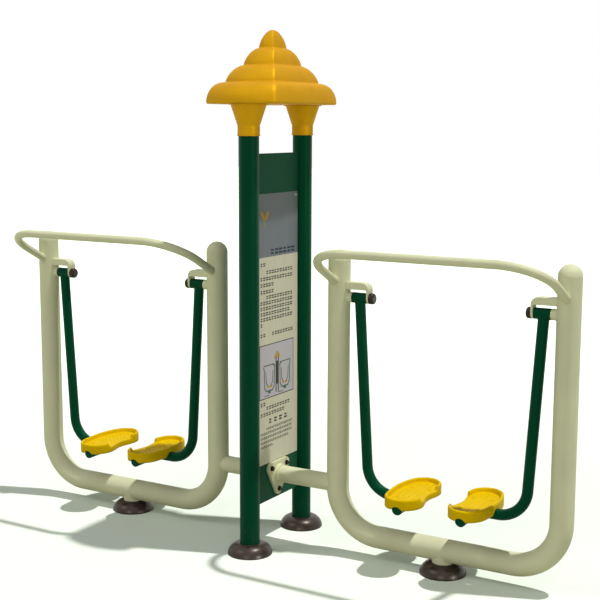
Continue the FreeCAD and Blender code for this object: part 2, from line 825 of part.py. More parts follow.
def hook_profile():
    """Side outline of the hook, in the plane of its -Y edge."""
    y = -bracket_width / 2
    back = ear_back
    face = ear_face
    bottom = pivot_height - bracket_width / 2
    outer_radius = bracket_outer_radius
    inner_radius = bracket_inner_radius
    outer_arc = Part.Arc(
        Vector(back, y, bracket_arm_top - outer_radius),
        Vector(back + outer_radius * quarter_turn, y, bracket_arm_top - outer_radius * quarter_turn),
        Vector(back + outer_radius, y, bracket_arm_top),
    )
    inner_arc = Part.Arc(
        Vector(face + inner_radius, y, bracket_arm_bottom),
        Vector(face + inner_radius * quarter_turn, y, bracket_arm_bottom - inner_radius * quarter_turn),
        Vector(face, y, bracket_arm_bottom - inner_radius),
    )
    lines = [
        (Vector(back, y, bottom), Vector(back, y, bracket_arm_top - outer_radius)),
        (Vector(back + outer_radius, y, bracket_arm_top), Vector(post_x, y, bracket_arm_top)),
        (Vector(post_x, y, bracket_arm_top), Vector(post_x, y, bracket_arm_bottom)),
        (Vector(post_x, y, bracket_arm_bottom), Vector(face + inner_radius, y, bracket_arm_bottom)),
        (Vector(face, y, bracket_arm_bottom - inner_radius), Vector(face, y, bottom)),
        (Vector(face, y, bottom), Vector(back, y, bottom)),
    ]
    edges = [Part.LineSegment(start, end).toShape() for start, end in lines]
    edges.insert(1, outer_arc.toShape())
    edges.insert(5, inner_arc.toShape())
    return Part.Wire(edges)


def pivot_axle():
    """Axle pin from inside the post's wall, through the boss and the housing, to its threaded end."""
    start = pivot_point(ear_back - axle_washer_thickness - axle_nut_height - axle_end)
    end = pivot_point(post_x - post_radius)
    return cylinder(bearing_bore / 2, start, end)


def bearing_centres():
    """Middle planes of the two bearings in a housing."""
    offset = bearing_inset + bearing_width / 2
    return (housing_inner_end + offset, housing_outer_end - offset)


def bearing_ring(inner_d, outer_d, x):
    """Bearing ring with its ball groove."""
    half = bearing_width / 2
    ring = pipe(outer_d / 2, inner_d / 2, pivot_point(x - half), pivot_point(x + half))
    return ring.cut(ball_groove(x))


def ball_pitch_radius():
    """Radius of the circle of ball centres."""
    return (bearing_inner_race_d + bearing_outer_race_d) / 4


def ball_groove(x):
    """Ring-shaped cutter that the balls run in."""
    groove_radius = bearing_ball_d / 2 + running_gap
    return Part.makeTorus(ball_pitch_radius(), groove_radius, pivot_point(x), X_AXIS)


def bearing_inner_rings():
    """Inner rings of the two bearings, fixed on the axle."""
    return group([bearing_ring(bearing_bore, bearing_inner_race_d, x) for x in bearing_centres()])


def bearing_outer_rings():
    """Outer rings of the two bearings, fixed in the housing."""
    return [bearing_ring(bearing_outer_race_d, bearing_d, x) for x in bearing_centres()]


def bearing_balls():
    """Balls of the two bearings."""
    balls = []
    for x in bearing_centres():
        for step in range(bearing_ball_count):
            angle = math.radians(360 * step / bearing_ball_count)
            y = ball_pitch_radius() * math.cos(angle)
            z = ball_pitch_radius() * math.sin(angle)
            balls.append(Part.makeSphere(bearing_ball_d / 2, pivot_point(x) + Vector(0, y, z)))
    return balls


def pivot_spacer():
    """Tube on the axle that keeps the inner rings apart."""
    first, second = bearing_centres()
    half = bearing_width / 2
    outer = bearing_inner_race_d / 2
    return pipe(outer, bearing_bore / 2, pivot_point(first + half), pivot_point(second - half))


def end_spacers():
    """Short tubes on the axle between the inner rings and the thrust washers."""
    first, second = bearing_centres()
    half = bearing_width / 2
    outer = bearing_inner_race_d / 2
    bore = bearing_bore / 2
    low = pipe(outer, bore, pivot_point(housing_inner_end - thrust_gap), pivot_point(first - half))
    high = pipe(outer, bore, pivot_point(second + half), pivot_point(housing_outer_end + thrust_gap))
    return [low, high]


def thrust_washers():
    """Washers that close the housing's two ends, fixed on the axle."""
    radius = thrust_washer_d / 2
    bore = bearing_bore / 2
    inner = pipe(radius, bore, pivot_point(ear_face), pivot_point(ear_face + thrust_washer_thickness))
    outer = pipe(radius, bore, pivot_point(boss_face - thrust_washer_thickness), pivot_point(boss_face))
    return group([inner, outer])


def axle_nut():
    """Washer and nut on the axle's threaded end."""
    back = ear_back
    washer_start = pivot_point(back - axle_washer_thickness)
    washer = pipe(axle_washer_d / 2, bearing_bore / 2, washer_start, pivot_point(back))
    nut = hexagon_prism(axle_nut_across, axle_nut_height, washer_start, Vector(-1, 0, 0))
    nut_end = washer_start - Vector(axle_nut_height, 0, 0)
    nut = nut.cut(cylinder(bearing_bore / 2, washer_start, nut_end))
    return group([washer, nut])


def nut_cap():
    """Round plastic cap over the axle nut, with a softened outer edge."""
    back = ear_back
    tip = back - nut_cap_height
    radius = nut_cap_d / 2
    edge = nut_cap_edge_radius
    outline = [
        (Vector(back, 0, 0),),
        (Vector(back, radius, 0),),
        (Vector(tip + edge, radius, 0),),
        (Vector(tip + edge * quarter_turn, radius - edge * quarter_turn, 0), Vector(tip, radius - edge, 0)),
        (Vector(tip, 0, 0),),
    ]
    cap = turned(outline, Vector(0, 0, 0), X_AXIS)
    wall = nut_cap_wall
    hollow = cylinder(radius - wall - edge / 3, Vector(tip + wall, 0, 0), Vector(back, 0, 0))
    return moved(cap.cut(hollow), z=pivot_height)


# Swing arms, each drawn at the +X side of a frame centred on the origin

def bearing_housing():
    """Tube that holds the two bearings, with a shoulder between them."""
    start = pivot_point(housing_inner_end)
    end = pivot_point(housing_outer_end)
    housing = cylinder(housing_d / 2, start, end)
    first, second = bearing_centres()
    half = bearing_width / 2
    housing = housing.cut(cylinder(bearing_d / 2, start, pivot_point(first + half)))
    housing = housing.cut(cylinder(bearing_d / 2, pivot_point(second - half), end))
    return housing.cut(cylinder(bearing_outer_race_d / 2, start, end))


def arm_bottom_x():
    """Arm axis at the height of the pedal tube."""
    drop = pivot_height - pedal_tube_height
    return arm_top_x - drop * math.tan(math.radians(arm_lean))


def arm_points():
    """Arm axis from the pivot down to the pedal tube."""
    return [
        pivot_point(arm_top_x),
        Vector(arm_bottom_x(), 0, pedal_tube_height),
        Vector(pedal_x, 0, pedal_tube_height),
    ]


def arm_tube():
    """Bent tube from the bearing housing to the pedal tube, coped at both ends."""
    arm = swept_tube(arm_points(), arm_bend_radius, arm_tube_d, arm_tube_wall)
    start = pivot_point(housing_inner_end - cutter_reach)
    housing = cylinder(housing_d / 2, start, pivot_point(housing_outer_end + cutter_reach))
    size = housing_length + arm_tube_d
    corner = Vector(arm_top_x - size / 2, -size / 2, pivot_height)
    above = Part.makeBox(size, size, size, corner)
    return arm.cut(housing.fuse(above)).cut(pitched(carrier_rod(arm_tube_d / 2)))


def pitched(shape):
    """A piece drawn level on the pedal tube, tilted with it about the tube's middle."""
    copy = shape.copy()
    copy.rotate(Vector(pedal_x, 0, pedal_tube_height), X_AXIS, pedal_pitch)
    return copy


def carrier_rod(radius):
    """Solid bar on the pedal tube's axis, drawn level as all that sits on it is."""
    half = carrier_length / 2
    start = Vector(pedal_x, -half, pedal_tube_height)
    return cylinder(radius, start, Vector(pedal_x, half, pedal_tube_height))


def carrier_tube():
    """Tube that runs under the pedal from toe to heel."""
    tube = carrier_rod(arm_tube_d / 2)
    return tube.cut(carrier_rod(arm_tube_d / 2 - carrier_wall))


def carrier_plates():
    """Two seat plates on top of the pedal tube and two discs that close its ends."""
    plates = []
    half = carrier_length / 2
    for sign in (-1, 1):
        start = Vector(pedal_x, sign * half, pedal_tube_height)
        end = Vector(pedal_x, sign * (half + end_disc_thickness), pedal_tube_height)
        plates.append(cylinder(arm_tube_d / 2, start, end))
        plates.append(seat_plate(sign * seat_plate_y))
    return plates


def seat_plate(y):
    """Plate saddled on the pedal tube, with two bolt holes."""
    corner = Vector(
        pedal_x - seat_plate_length / 2, y - seat_plate_width / 2, seat_top - seat_plate_thickness
    )
    plate = Part.makeBox(seat_plate_length, seat_plate_width, seat_plate_thickness, corner)
    plate = plate.cut(carrier_rod(arm_tube_d / 2))
    for bolt_x in pedal_bolt_columns():
        hole = cylinder(pedal_bolt_d / 2, Vector(bolt_x, y, 0), Vector(bolt_x, y, pivot_height))
        plate = plate.cut(hole)
    return plate


def pedal_bolt_columns():
    """Where the two bolts of a seat plate are along X."""
    half = pedal_bolt_spacing_x / 2
    return (pedal_x - half, pedal_x + half)


def pedal_bolt_places():
    """Four bolts, two in each seat plate."""
    return [(x, y) for x in pedal_bolt_columns() for y in (-seat_plate_y, seat_plate_y)]


def pedal_outline(inset, z):
    """Foot-shaped outline, wide toe to the front, drawn in by an inset."""
    outer = pedal_outer_half - inset
    outer_heel = pedal_outer_heel - inset
    inner = pedal_inner_half - inset
    inner_heel = pedal_inner_heel - inset
    waist = pedal_waist_half - inset
    toe = pedal_toe_y + inset
    heel = pedal_heel_y - inset
    toe_corner = toe + pedal_end_rounding
    heel_corner = heel - pedal_end_rounding
    share = pedal_corner_share
    places = [
        (outer, pedal_outer_ball_y),
        (outer_heel, pedal_heel_full_y),
        (outer_heel * share, heel_corner),
        (0, heel),
        (-inner_heel * share, heel_corner),
        (-inner_heel, pedal_heel_full_y),
        (-waist, pedal_waist_y),
        (-inner, pedal_inner_ball_y),
        (-inner * share, toe_corner),
        (0, toe),
        (outer * share, toe_corner),
    ]
    curve = Part.BSplineCurve()
    curve.interpolate([Vector(pedal_x + x, y, z) for x, y in places], PeriodicFlag=True)
    return Part.Wire(curve.toShape())


def pedal_block(inset, low, high):
    """Upright solid of the foot outline."""
    return Part.Face(pedal_outline(inset, low)).extrude(Vector(0, 0, high - low))


def pedal():
    """Moulded foot pedal: floor, skirt, a rim that is open at the inner waist, and tread studs."""
    floor_low = tread - pedal_floor_thickness
    skirt_low = tread - pedal_skirt_depth
    skirt = pedal_block(0, skirt_low, tread).cut(pedal_block(pedal_skirt_wall, skirt_low, floor_low))
    for cutter in skirt_arches():
        skirt = skirt.cut(cutter)
    body = skirt.fuse([pedal_rim()] + tread_studs())
    for bolt_x, bolt_y in pedal_bolt_places():
        low = Vector(bolt_x, bolt_y, skirt_low)
        body = body.cut(cylinder(pedal_bolt_d / 2, low, Vector(bolt_x, bolt_y, pivot_height)))
    return body


def pedal_rim():
    """Rim round toe, outer side and heel, with rounded upper edges."""
    high = tread + pedal_rim_height
    rim = pedal_block(0, tread, high).cut(pedal_block(pedal_rim_width, tread, high))
    upper = [edge for edge in rim.Edges if edge.BoundBox.ZMin > high - 0.01]
    rim = rim.makeFillet(pedal_rim_rounding, upper)
    length = pedal_opening_rear - pedal_opening_front
    corner = Vector(pedal_x - 2 * pedal_inner_half, pedal_opening_front, tread)
    return rim.cut(Part.makeBox(2 * pedal_inner_half, length, pedal_rim_height, corner))


def skirt_arches():
    """Cutters for the low arch at the toe and for the one where the arm leaves the skirt."""
    size = pedal_heel_y - pedal_toe_y
    toe_top = tread - pedal_skirt_depth + pedal_toe_arch_rise
    toe_middle = toe_top - pedal_toe_arch_radius
    front = Vector(pedal_x, -size, toe_middle)
    toe = cylinder(pedal_toe_arch_radius, front, Vector(pedal_x, 0, toe_middle))
    below_floor = Vector(pedal_x - size, -size, tread - pedal_floor_thickness - size)
    keep = Part.makeBox(2 * size, 2 * size, size, below_floor)
    middle = Vector(pedal_x, 0, pedal_tube_height)
    side = Vector(pedal_x + size, 0, pedal_tube_height)
    arm = cylinder(arm_tube_d / 2 + pedal_arch_gap, middle, side)
    return [toe, arm.common(keep)]


def tread_studs():
    """Rows of low round studs that give grip, clear of the rim and the bolt heads."""
    top = tread + tread_stud_height
    root = tread - tread_stud_root
    field = pedal_block(pedal_rim_width + tread_stud_d, root, top)
    clear = (pedal_bolt_head_d + tread_stud_d) / 2 + tread_stud_margin
    rows = int((pedal_heel_y - pedal_toe_y) / tread_stud_pitch_y / 2)
    columns = int(pedal_outer_half / tread_stud_pitch_x)
    middle_y = (pedal_heel_y + pedal_toe_y) / 2
    studs = []
    for row in range(-rows, rows + 1):
        for column in range(-columns, columns + 1):
            x = pedal_x + column * tread_stud_pitch_x
            y = middle_y + row * tread_stud_pitch_y
            to_bolts = [math.hypot(x - bolt_x, y - bolt_y) for bolt_x, bolt_y in pedal_bolt_places()]
            if min(to_bolts) > clear and field.isInside(Vector(x, y, tread), 0.01, True):
                studs.append(cylinder(tread_stud_d / 2, Vector(x, y, root), Vector(x, y, top)))
    return studs


def pedal_bolts():
    """Low round-headed bolts through the pedal and the seat plates, with nuts below."""
    pieces = []
    plate_low = seat_top - seat_plate_thickness
    for bolt_x, bolt_y in pedal_bolt_places():
        nut_low = plate_low - pedal_nut_height
        tip = Vector(bolt_x, bolt_y, nut_low - pedal_bolt_end)
        shank = cylinder(pedal_bolt_d / 2, tip, Vector(bolt_x, bolt_y, tread))
        head_base = Vector(bolt_x, bolt_y, tread)
        head = dome(pedal_bolt_head_d / 2, pedal_bolt_head_height, head_base, Z_AXIS)
        pieces.append(shank.fuse(head).removeSplitter())
        top = Vector(bolt_x, bolt_y, plate_low)
        nut = hexagon_prism(pedal_nut_across, pedal_nut_height, top, Vector(0, 0, -1))
        pieces.append(nut.cut(cylinder(pedal_bolt_d / 2, Vector(bolt_x, bolt_y, nut_low), top)))
    return pieces


def build():
    """Every sub-part by name."""
    parts = {
        "tower_post_front": tower_post(-tower_y),
        "tower_post_rear": tower_post(tower_y),
        "tower_panel": tower_panel(),
        "sign_plate": sign_plate(),
        "sign_rivets": sign_rivets(),
        "roof_cap": roof_cap(),
        "roof_sockets": group([roof_socket(-tower_y), roof_socket(tower_y)]),
        "roof_screws": roof_screws(),
        "base_plates": group([base_plate(x, y) for x, y, radius in feet()]),
        "foot_covers": group([foot_cover(x, y, radius) for x, y, radius in feet()]),
        "frame_post_caps": at_each_pivot(moved(post_cap(), x=post_x)),
        "frame_tees": group([moved(bottom_tee(), x=x) for x in frames.values()]),
        "frame_foot_stubs": group([moved(foot_stub(), x=x) for x in frames.values()]),
        "link_tubes": group([link_tube(), mirrored_x(link_tube())]),
        "link_flanges": group([link_flange(), mirrored_x(link_flange())]),
        "flange_bolts": flange_bolts(),
        "flange_nuts": flange_nuts(),
        "pivot_brackets": at_each_pivot(pivot_bracket()),
        "pivot_bosses": at_each_pivot(pivot_boss()),
        "pivot_axles": at_each_pivot(pivot_axle()),
        "bearing_inner_rings": at_each_pivot(bearing_inner_rings()),
        "pivot_spacers": at_each_pivot(group([pivot_spacer()] + end_spacers())),
        "thrust_washers": at_each_pivot(thrust_washers()),
        "axle_nuts": at_each_pivot(axle_nut()),
        "nut_caps": at_each_pivot(nut_cap()),
    }
    for name, x in frames.items():
        parts["handrail_" + name] = moved(handrail(), x=x)
        parts["frame_tube_" + name + "_a"] = moved(j_tube(-1), x=x)
        parts["frame_tube_" + name + "_b"] = moved(j_tube(1), x=x)
    arm_pieces = {
        "_tube": arm_tube(),
        "_housing": bearing_housing(),
        "_bearings": group(bearing_outer_rings() + bearing_balls()),
        "_pedal_tube": pitched(carrier_tube()),
        "_pedal_plates": pitched(group(carrier_plates())),
        "_pedal": pitched(pedal()),
        "_pedal_bolts": pitched(group(pedal_bolts())),
    }
    for arm, (x, side) in arms.items():
        for ending, shape in arm_pieces.items():
            parts[arm + ending] = moved(for_side(shape, side), x=x)
    return parts


def main():
    """Write each sub-part to its own file."""
    os.makedirs("parts", exist_ok=True)
    for name, shape in build().items():
        shape.exportStep("parts/" + name + ".step")
        valid = "valid" if shape.isValid() else "NOT VALID"
        print(name, len(shape.Solids), "solids", round(shape.Volume / 1000, 1), "cm3", valid)


main()
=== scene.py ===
# %% [markdown]
# # Outdoor air walker
# A park machine for two people. Each stands on two hanging pedals inside a U-shaped tube frame, holds the
# handrail and walks in the air. A tower with a sign and a yellow plastic roof stands between the two frames.
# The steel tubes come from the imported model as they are. This lesson gives every piece its finish and
# models the roof and the pedals again, which need a softer form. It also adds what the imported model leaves
# out: the tread's studs and caps, the weld beads and the print on the sign.

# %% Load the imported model
import math

import bmesh
import bpy
from mathutils import Matrix, Vector
from mathutils.bvhtree import BVHTree


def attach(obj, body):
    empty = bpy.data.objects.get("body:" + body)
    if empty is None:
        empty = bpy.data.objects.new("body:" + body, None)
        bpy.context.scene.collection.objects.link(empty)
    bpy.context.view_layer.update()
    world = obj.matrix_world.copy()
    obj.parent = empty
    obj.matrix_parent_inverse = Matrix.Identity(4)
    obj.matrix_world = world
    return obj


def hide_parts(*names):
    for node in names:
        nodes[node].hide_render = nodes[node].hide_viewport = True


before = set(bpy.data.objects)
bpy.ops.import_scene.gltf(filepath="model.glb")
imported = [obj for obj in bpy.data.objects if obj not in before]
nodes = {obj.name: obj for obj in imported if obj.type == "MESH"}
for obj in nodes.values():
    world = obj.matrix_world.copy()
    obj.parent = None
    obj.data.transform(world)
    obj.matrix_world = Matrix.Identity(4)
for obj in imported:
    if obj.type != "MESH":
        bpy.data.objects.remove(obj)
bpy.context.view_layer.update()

MM = 0.001

# %% [markdown]
# ## Camera
# The photograph looks down a little, from the front right, through a long lens. Its place was found from
# the object's own upright posts and level rails. The frame is square, so the sensor's width is the view's.

# %% Camera
camera_data = bpy.data.cameras.new("photo_camera")
camera_data.sensor_width = 36
camera_data.lens = 73.13
camera_data.clip_end = 100
camera = bpy.data.objects.new("photo_camera", camera_data)
turn = Matrix.Rotation(math.radians(30.92), 4, "Z")
tilt = Matrix.Rotation(math.radians(90 - 8.334), 4, "X")
roll = Matrix.Rotation(math.radians(0.174), 4, "Z")
camera.matrix_world = Matrix.Translation((2.983, -4.767, 1.979)) @ turn @ tilt @ roll
bpy.context.scene.collection.objects.link(camera)
bpy.context.scene.camera = camera
print("camera at", tuple(round(x, 3) for x in camera.matrix_world.translation))

# %% [markdown]
# ## Colours and nodes
# Paint charts and photographs give colours as sRGB hex values, but shaders count in linear light, so one
# function turns the one into the other. One more function adds any shader node: its settings are plain
# attributes, and each input is either a value or the socket that feeds it. All patterns are drawn in Object
# coordinates, which are in metres, so a noise of scale 1000 / n has blots about n millimetres wide.

# %% Helpers for materials
def linear(hex_colour, share=1.0):
    """Linear RGBA of an sRGB hex value, made lighter or darker by a share."""
    channels = [int(hex_colour[start:start + 2], 16) / 255 for start in (0, 2, 4)]
    light = [c / 12.92 if c <= 0.04045 else ((c + 0.055) / 1.055) ** 2.4 for c in channels]
    return [c * share for c in light] + [1.0]


def add(tree, kind, inputs, **settings):
    """Adds a shader node with its settings, and sets or links its inputs."""
    node = tree.nodes.new("ShaderNode" + kind)
    for name, value in settings.items():
        setattr(node, name, value)
    for name, value in inputs.items():
        if isinstance(value, bpy.types.NodeSocket):
            tree.links.new(value, node.inputs[name])
        else:
            node.inputs[name].default_value = value
    return node


# A Mix node keeps one set of inputs for each data type. These are the numbers of the colour ones.
MIX_BY, MIX_A, MIX_B, MIX_OUT = 0, 6, 7, 2
print("sRGB 80 is", round(linear("808080")[0], 3), "in linear light")

# %% [markdown]
# ## Floor and world
# The object stands on a plain white floor in a white world. Both look white to the camera, in mirrors and
# through glass. For the rays that carry light from one surface to the next they are darker, so that they
# don't wash out the undersides of the tubes. Near the object the floor glows faintly green, painted light
# that lifts and tints its shadow. Farther out the glow grows and melts into the world, so no horizon shows.

# %% World and floor
def ray_for_show(tree):
    """1 for rays from the camera, a mirror or glass, 0 for rays that light the object."""
    rays = add(tree, "LightPath", {})
    either = add(tree, "Math", {0: rays.outputs["Is Camera Ray"], 1: rays.outputs["Is Glossy Ray"]},
                 operation="MAXIMUM")
    shown = add(tree, "Math", {0: either.outputs[0], 1: rays.outputs["Is Transmission Ray"]},
                operation="MAXIMUM")
    return shown.outputs[0]


bpy.context.scene.view_settings.view_transform = "Standard"
world = bpy.data.worlds.new("studio")
world.use_nodes = True
tree = world.node_tree
tree.nodes.clear()
# 0.19 is how strongly the world lights the object, 1.0 how bright it looks.
strength = add(tree, "MapRange", {"Value": ray_for_show(tree), "To Min": 0.19, "To Max": 1.0})
sky = add(tree, "Background", {"Color": linear("FFFFFF"), "Strength": strength.outputs[0]})
add(tree, "OutputWorld", {"Surface": sky.outputs[0]})
bpy.context.scene.world = world

floor_material = bpy.data.materials.new("studio_floor_white_paper")
floor_material.use_nodes = True
tree = floor_material.node_tree
tree.nodes.clear()
shown = ray_for_show(tree)
# The first colour throws light back up at the object, the second one is the paper as it looks.
paper_colour = add(tree, "Mix", {MIX_BY: shown, MIX_A: linear("ACAC98"), MIX_B: linear("F7FFF1")},
                   data_type="RGBA")
paper = add(tree, "BsdfDiffuse", {"Color": paper_colour.outputs[MIX_OUT]})
spot = add(tree, "TexCoord", {}).outputs["Object"]
distance = add(tree, "VectorMath", {0: spot}, operation="LENGTH")
# Within 2.2 m of the middle of the object a faint green glow, painted light, lifts the floor's shadow. From
# there the glow grows and is full at 5 m.
fade = add(tree, "MapRange", {"Value": distance.outputs["Value"], "From Min": 2.2, "From Max": 5.0,
                              "To Min": 0.03, "To Max": 0.5})
glow = add(tree, "Math", {0: shown, 1: fade.outputs[0]}, operation="MULTIPLY")
# Painted light: the floor's own green glow, faint near the object, where it lightens and tints the shadow.
painted_floor_glow = add(tree, "Emission", {"Color": linear("D0FFE0"), "Strength": glow.outputs[0]})
lit_paper = add(tree, "AddShader", {0: paper.outputs[0], 1: painted_floor_glow.outputs[0]})
add(tree, "OutputMaterial", {"Surface": lit_paper.outputs[0]})

floor_half_width = 40
sheet = bmesh.new()
bmesh.ops.create_grid(sheet, x_segments=1, y_segments=1, size=floor_half_width)
floor_mesh = bpy.data.meshes.new("studio_floor")
sheet.to_mesh(floor_mesh)
sheet.free()
floor_mesh.materials.append(floor_material)
studio_floor = bpy.data.objects.new("studio_floor", floor_mesh)
bpy.context.scene.collection.objects.link(studio_floor)
print("floor", studio_floor.dimensions.x, "m wide")

# %% [markdown]
# ## Lamps
# One lamp hangs high on the right, so the shadow falls to the left as in the photograph. It is nearly as
# small as the sun, which keeps the shadow's edge crisp. Three weak, very soft lamps open the dark sides. All
# are of the sun kind, which shines the same from any distance, so only direction, power and softness matter.

# %% Lamps
lamp_distance = 9


def lamp(name, direction, power, softness):
    """A far lamp that shines from a direction, with a softness in degrees."""
    data = bpy.data.lights.new(name, "SUN")
    data.energy = power
    data.angle = math.radians(softness)
    light = bpy.data.objects.new(name, data)
    towards = Vector(direction).normalized()
    aim = towards.to_track_quat("Z", "Y").to_matrix().to_4x4()
    light.matrix_world = Matrix.Translation(towards * lamp_distance) @ aim
    bpy.context.scene.collection.objects.link(light)
    print(name, "from", tuple(round(x, 2) for x in towards))
    return light


lamp("high_right_lamp", (0.306, 0.111, 0.946), 2.5, 1.6)
lamp("front_lamp", (0.27, -0.94, 0.21), 0.45, 25)
lamp("high_front_lamp", (0.34, -0.42, 0.84), 0.15, 20)
lamp("left_lamp", (-0.45, -0.53, 0.72), 0.40, 25)
# The last one is seen only in reflections. It draws a highlight down the upper part of the posts.
strip_lamp = lamp("right_strip_lamp", (0.97, -0.22, 0.10), 1.1, 12)
strip_lamp.visible_diffuse = False

# %% [markdown]
# ## Powder-coated steel
# The tubes are sprayed with dry paint powder and baked. The coat is satin and a little uneven, like the
# skin of an orange. In the open it catches a little splashed soil near the ground. The Bevel node rounds
# each sharp edge in the shading, as the thick coat does, and it also finds the edges, where the coat is
# rubbed lighter: there the rounded normal turns away from the true one.

# %% Powder coat
def start_finish(name):
    """A new material, its node tree and its Object coordinates, which are in metres."""
    material = bpy.data.materials.new(name)
    material.use_nodes = True
    material.node_tree.nodes.clear()
    place = add(material.node_tree, "TexCoord", {}).outputs["Object"]
    return material, material.node_tree, place


def worn_edge(tree, radius_mm):
    """Rounded normal, and a mask that is 1 on edges sharper than the radius."""
    rounded = add(tree, "Bevel", {"Radius": radius_mm * MM}, samples=4)
    geometry = add(tree, "NewGeometry", {})
    alike = add(tree, "VectorMath", {0: rounded.outputs[0], 1: geometry.outputs["Normal"]},
                operation="DOT_PRODUCT")
    mask = add(tree, "MapRange", {"Value": alike.outputs["Value"], "From Min": 0.98, "From Max": 0.80})
    return rounded.outputs[0], mask.outputs[0]


def powder_coat(name, colour, edge_colour, roughness, shine, tint):
    """Baked powder paint on steel, with orange peel, soil splashes near the ground and rubbed edges."""
    material, tree, place = start_finish(name)
    patches = add(tree, "TexNoise", {"Vector": place, "Scale": 1000 / 160})
    coat = add(tree, "Mix", {MIX_BY: patches.outputs["Fac"], MIX_A: linear(colour, 0.92),
                             MIX_B: linear(colour, 1.08)}, data_type="RGBA")
    rounded, edges = worn_edge(tree, 1.5)
    chip_noise = add(tree, "TexNoise", {"Vector": place, "Scale": 1000 / 9})
    chips = add(tree, "MapRange", {"Value": chip_noise.outputs["Fac"], "From Min": 0.45, "From Max": 0.62})
    rubbed = add(tree, "Math", {0: edges, 1: chips.outputs[0]}, operation="MULTIPLY")
    worn = add(tree, "Mix", {MIX_BY: rubbed.outputs[0], MIX_A: coat.outputs[MIX_OUT],
                             MIX_B: linear(edge_colour)}, data_type="RGBA")
    # Soil reaches 16 cm up the posts and is thickest 5 cm above the ground.
    height = add(tree, "SeparateXYZ", {0: place}).outputs["Z"]
    low = add(tree, "MapRange", {"Value": height, "From Min": 0.16, "From Max": 0.05})
    splash_noise = add(tree, "TexNoise", {"Vector": place, "Scale": 1000 / 18, "Detail": 5.0})
    splash = add(tree, "MapRange", {"Value": splash_noise.outputs["Fac"], "From Min": 0.46,
                                    "From Max": 0.72, "To Max": 0.06})
    soil = add(tree, "Math", {0: low.outputs[0], 1: splash.outputs[0]}, operation="MULTIPLY")
    dirty = add(tree, "Mix", {MIX_BY: soil.outputs[0], MIX_A: worn.outputs[MIX_OUT],
                              MIX_B: linear("8A8070")}, data_type="RGBA")
    gloss_noise = add(tree, "TexNoise", {"Vector": place, "Scale": 1000 / 45})
    gloss = add(tree, "MapRange", {"Value": gloss_noise.outputs["Fac"], "To Min": roughness - 0.06,
                                   "To Max": roughness + 0.06})
    # Real orange peel has waves 2 to 4 mm wide. They are drawn 7 mm wide, so that the render shows them.
    wave_noise = add(tree, "TexNoise", {"Vector": place, "Scale": 1000 / 7})
    peel = add(tree, "Bump", {"Height": wave_noise.outputs["Fac"], "Strength": 0.10, "Distance": 0.0006,
                              "Normal": rounded})
    surface = add(tree, "BsdfPrincipled", {"Base Color": dirty.outputs[MIX_OUT],
                                           "Roughness": gloss.outputs[0], "IOR": 1.5,
                                           "Specular IOR Level": shine, "Specular Tint": linear(tint),
                                           "Normal": peel.outputs[0]})
    add(tree, "OutputMaterial", {"Surface": surface.outputs[0]})
    return material


# Cream shows its shading clearly, from near white on top to grey-green below. The dark green swallows
# light, and its shine is tinted green, or the white studio would veil it.
cream_coat = powder_coat("powder_coated_steel_cream", "DCDEB8", "E9EAD6", roughness=0.45, shine=0.12,
                         tint="FFFFFF")
green_coat = powder_coat("powder_coated_steel_green", "053E28", "2F6A50", roughness=0.42, shine=0.14,
                         tint="50D090")
panel_coat = powder_coat("powder_coated_sheet_steel_green", "1A5239", "3F7A60", roughness=0.55, shine=0.1,
                         tint="A0E0C0")
print("powder coats:", cream_coat.name, green_coat.name, panel_coat.name)

# %% [markdown]
# ## Moulded plastic
# The roof is rotomoulded polyethylene: powder melted in a turning mould, which leaves a soft gloss, a
# faintly pebbled skin and slightly cloudy colour. The pedals and the brown covers are injection-moulded
# and smoother. Plastic has an IOR near 1.5. It holds no metal, but pearl pigment in it mirrors light as
# metal does. The pigment lies close under the skin, so even the highlights look tinted.

# %% Plastics
def moulded_plastic(name, colour, roughness, shine, pearl, pebble_mm, pebble_depth, scuff_colour, tint):
    """Coloured plastic with moulded grain, cloudy colour and light scuffs on raised edges."""
    material, tree, place = start_finish(name)
    cloud = add(tree, "TexNoise", {"Vector": place, "Scale": 1000 / 90, "Detail": 3.0})
    body = add(tree, "Mix", {MIX_BY: cloud.outputs["Fac"], MIX_A: linear(colour, 0.90),
                             MIX_B: linear(colour, 1.08)}, data_type="RGBA")
    rounded, edges = worn_edge(tree, 2.0)
    rub_noise = add(tree, "TexNoise", {"Vector": place, "Scale": 1000 / 12, "Detail": 4.0})
    rub = add(tree, "MapRange", {"Value": rub_noise.outputs["Fac"], "From Min": 0.40, "From Max": 0.75,
                                 "To Max": 0.35})
    worn = add(tree, "Math", {0: edges, 1: rub.outputs[0]}, operation="MULTIPLY")
    skin = add(tree, "Mix", {MIX_BY: worn.outputs[0], MIX_A: body.outputs[MIX_OUT],
                             MIX_B: linear(scuff_colour)}, data_type="RGBA")
    gloss_noise = add(tree, "TexNoise", {"Vector": place, "Scale": 1000 / 35, "Detail": 3.0})
    gloss = add(tree, "MapRange", {"Value": gloss_noise.outputs["Fac"], "To Min": roughness - 0.07,
                                   "To Max": roughness + 0.07})
    pebbles = add(tree, "TexNoise", {"Vector": place, "Scale": 1000 / pebble_mm})
    grain = add(tree, "Bump", {"Height": pebbles.outputs["Fac"], "Strength": 0.25,
                               "Distance": pebble_depth * MM, "Normal": rounded})
    surface = add(tree, "BsdfPrincipled", {"Base Color": skin.outputs[MIX_OUT],
                                           "Roughness": gloss.outputs[0], "IOR": 1.5,
                                           "Specular IOR Level": shine, "Metallic": pearl,
                                           "Specular Tint": linear(tint), "Normal": grain.outputs[0]})
    add(tree, "OutputMaterial", {"Surface": surface.outputs[0]})
    return material


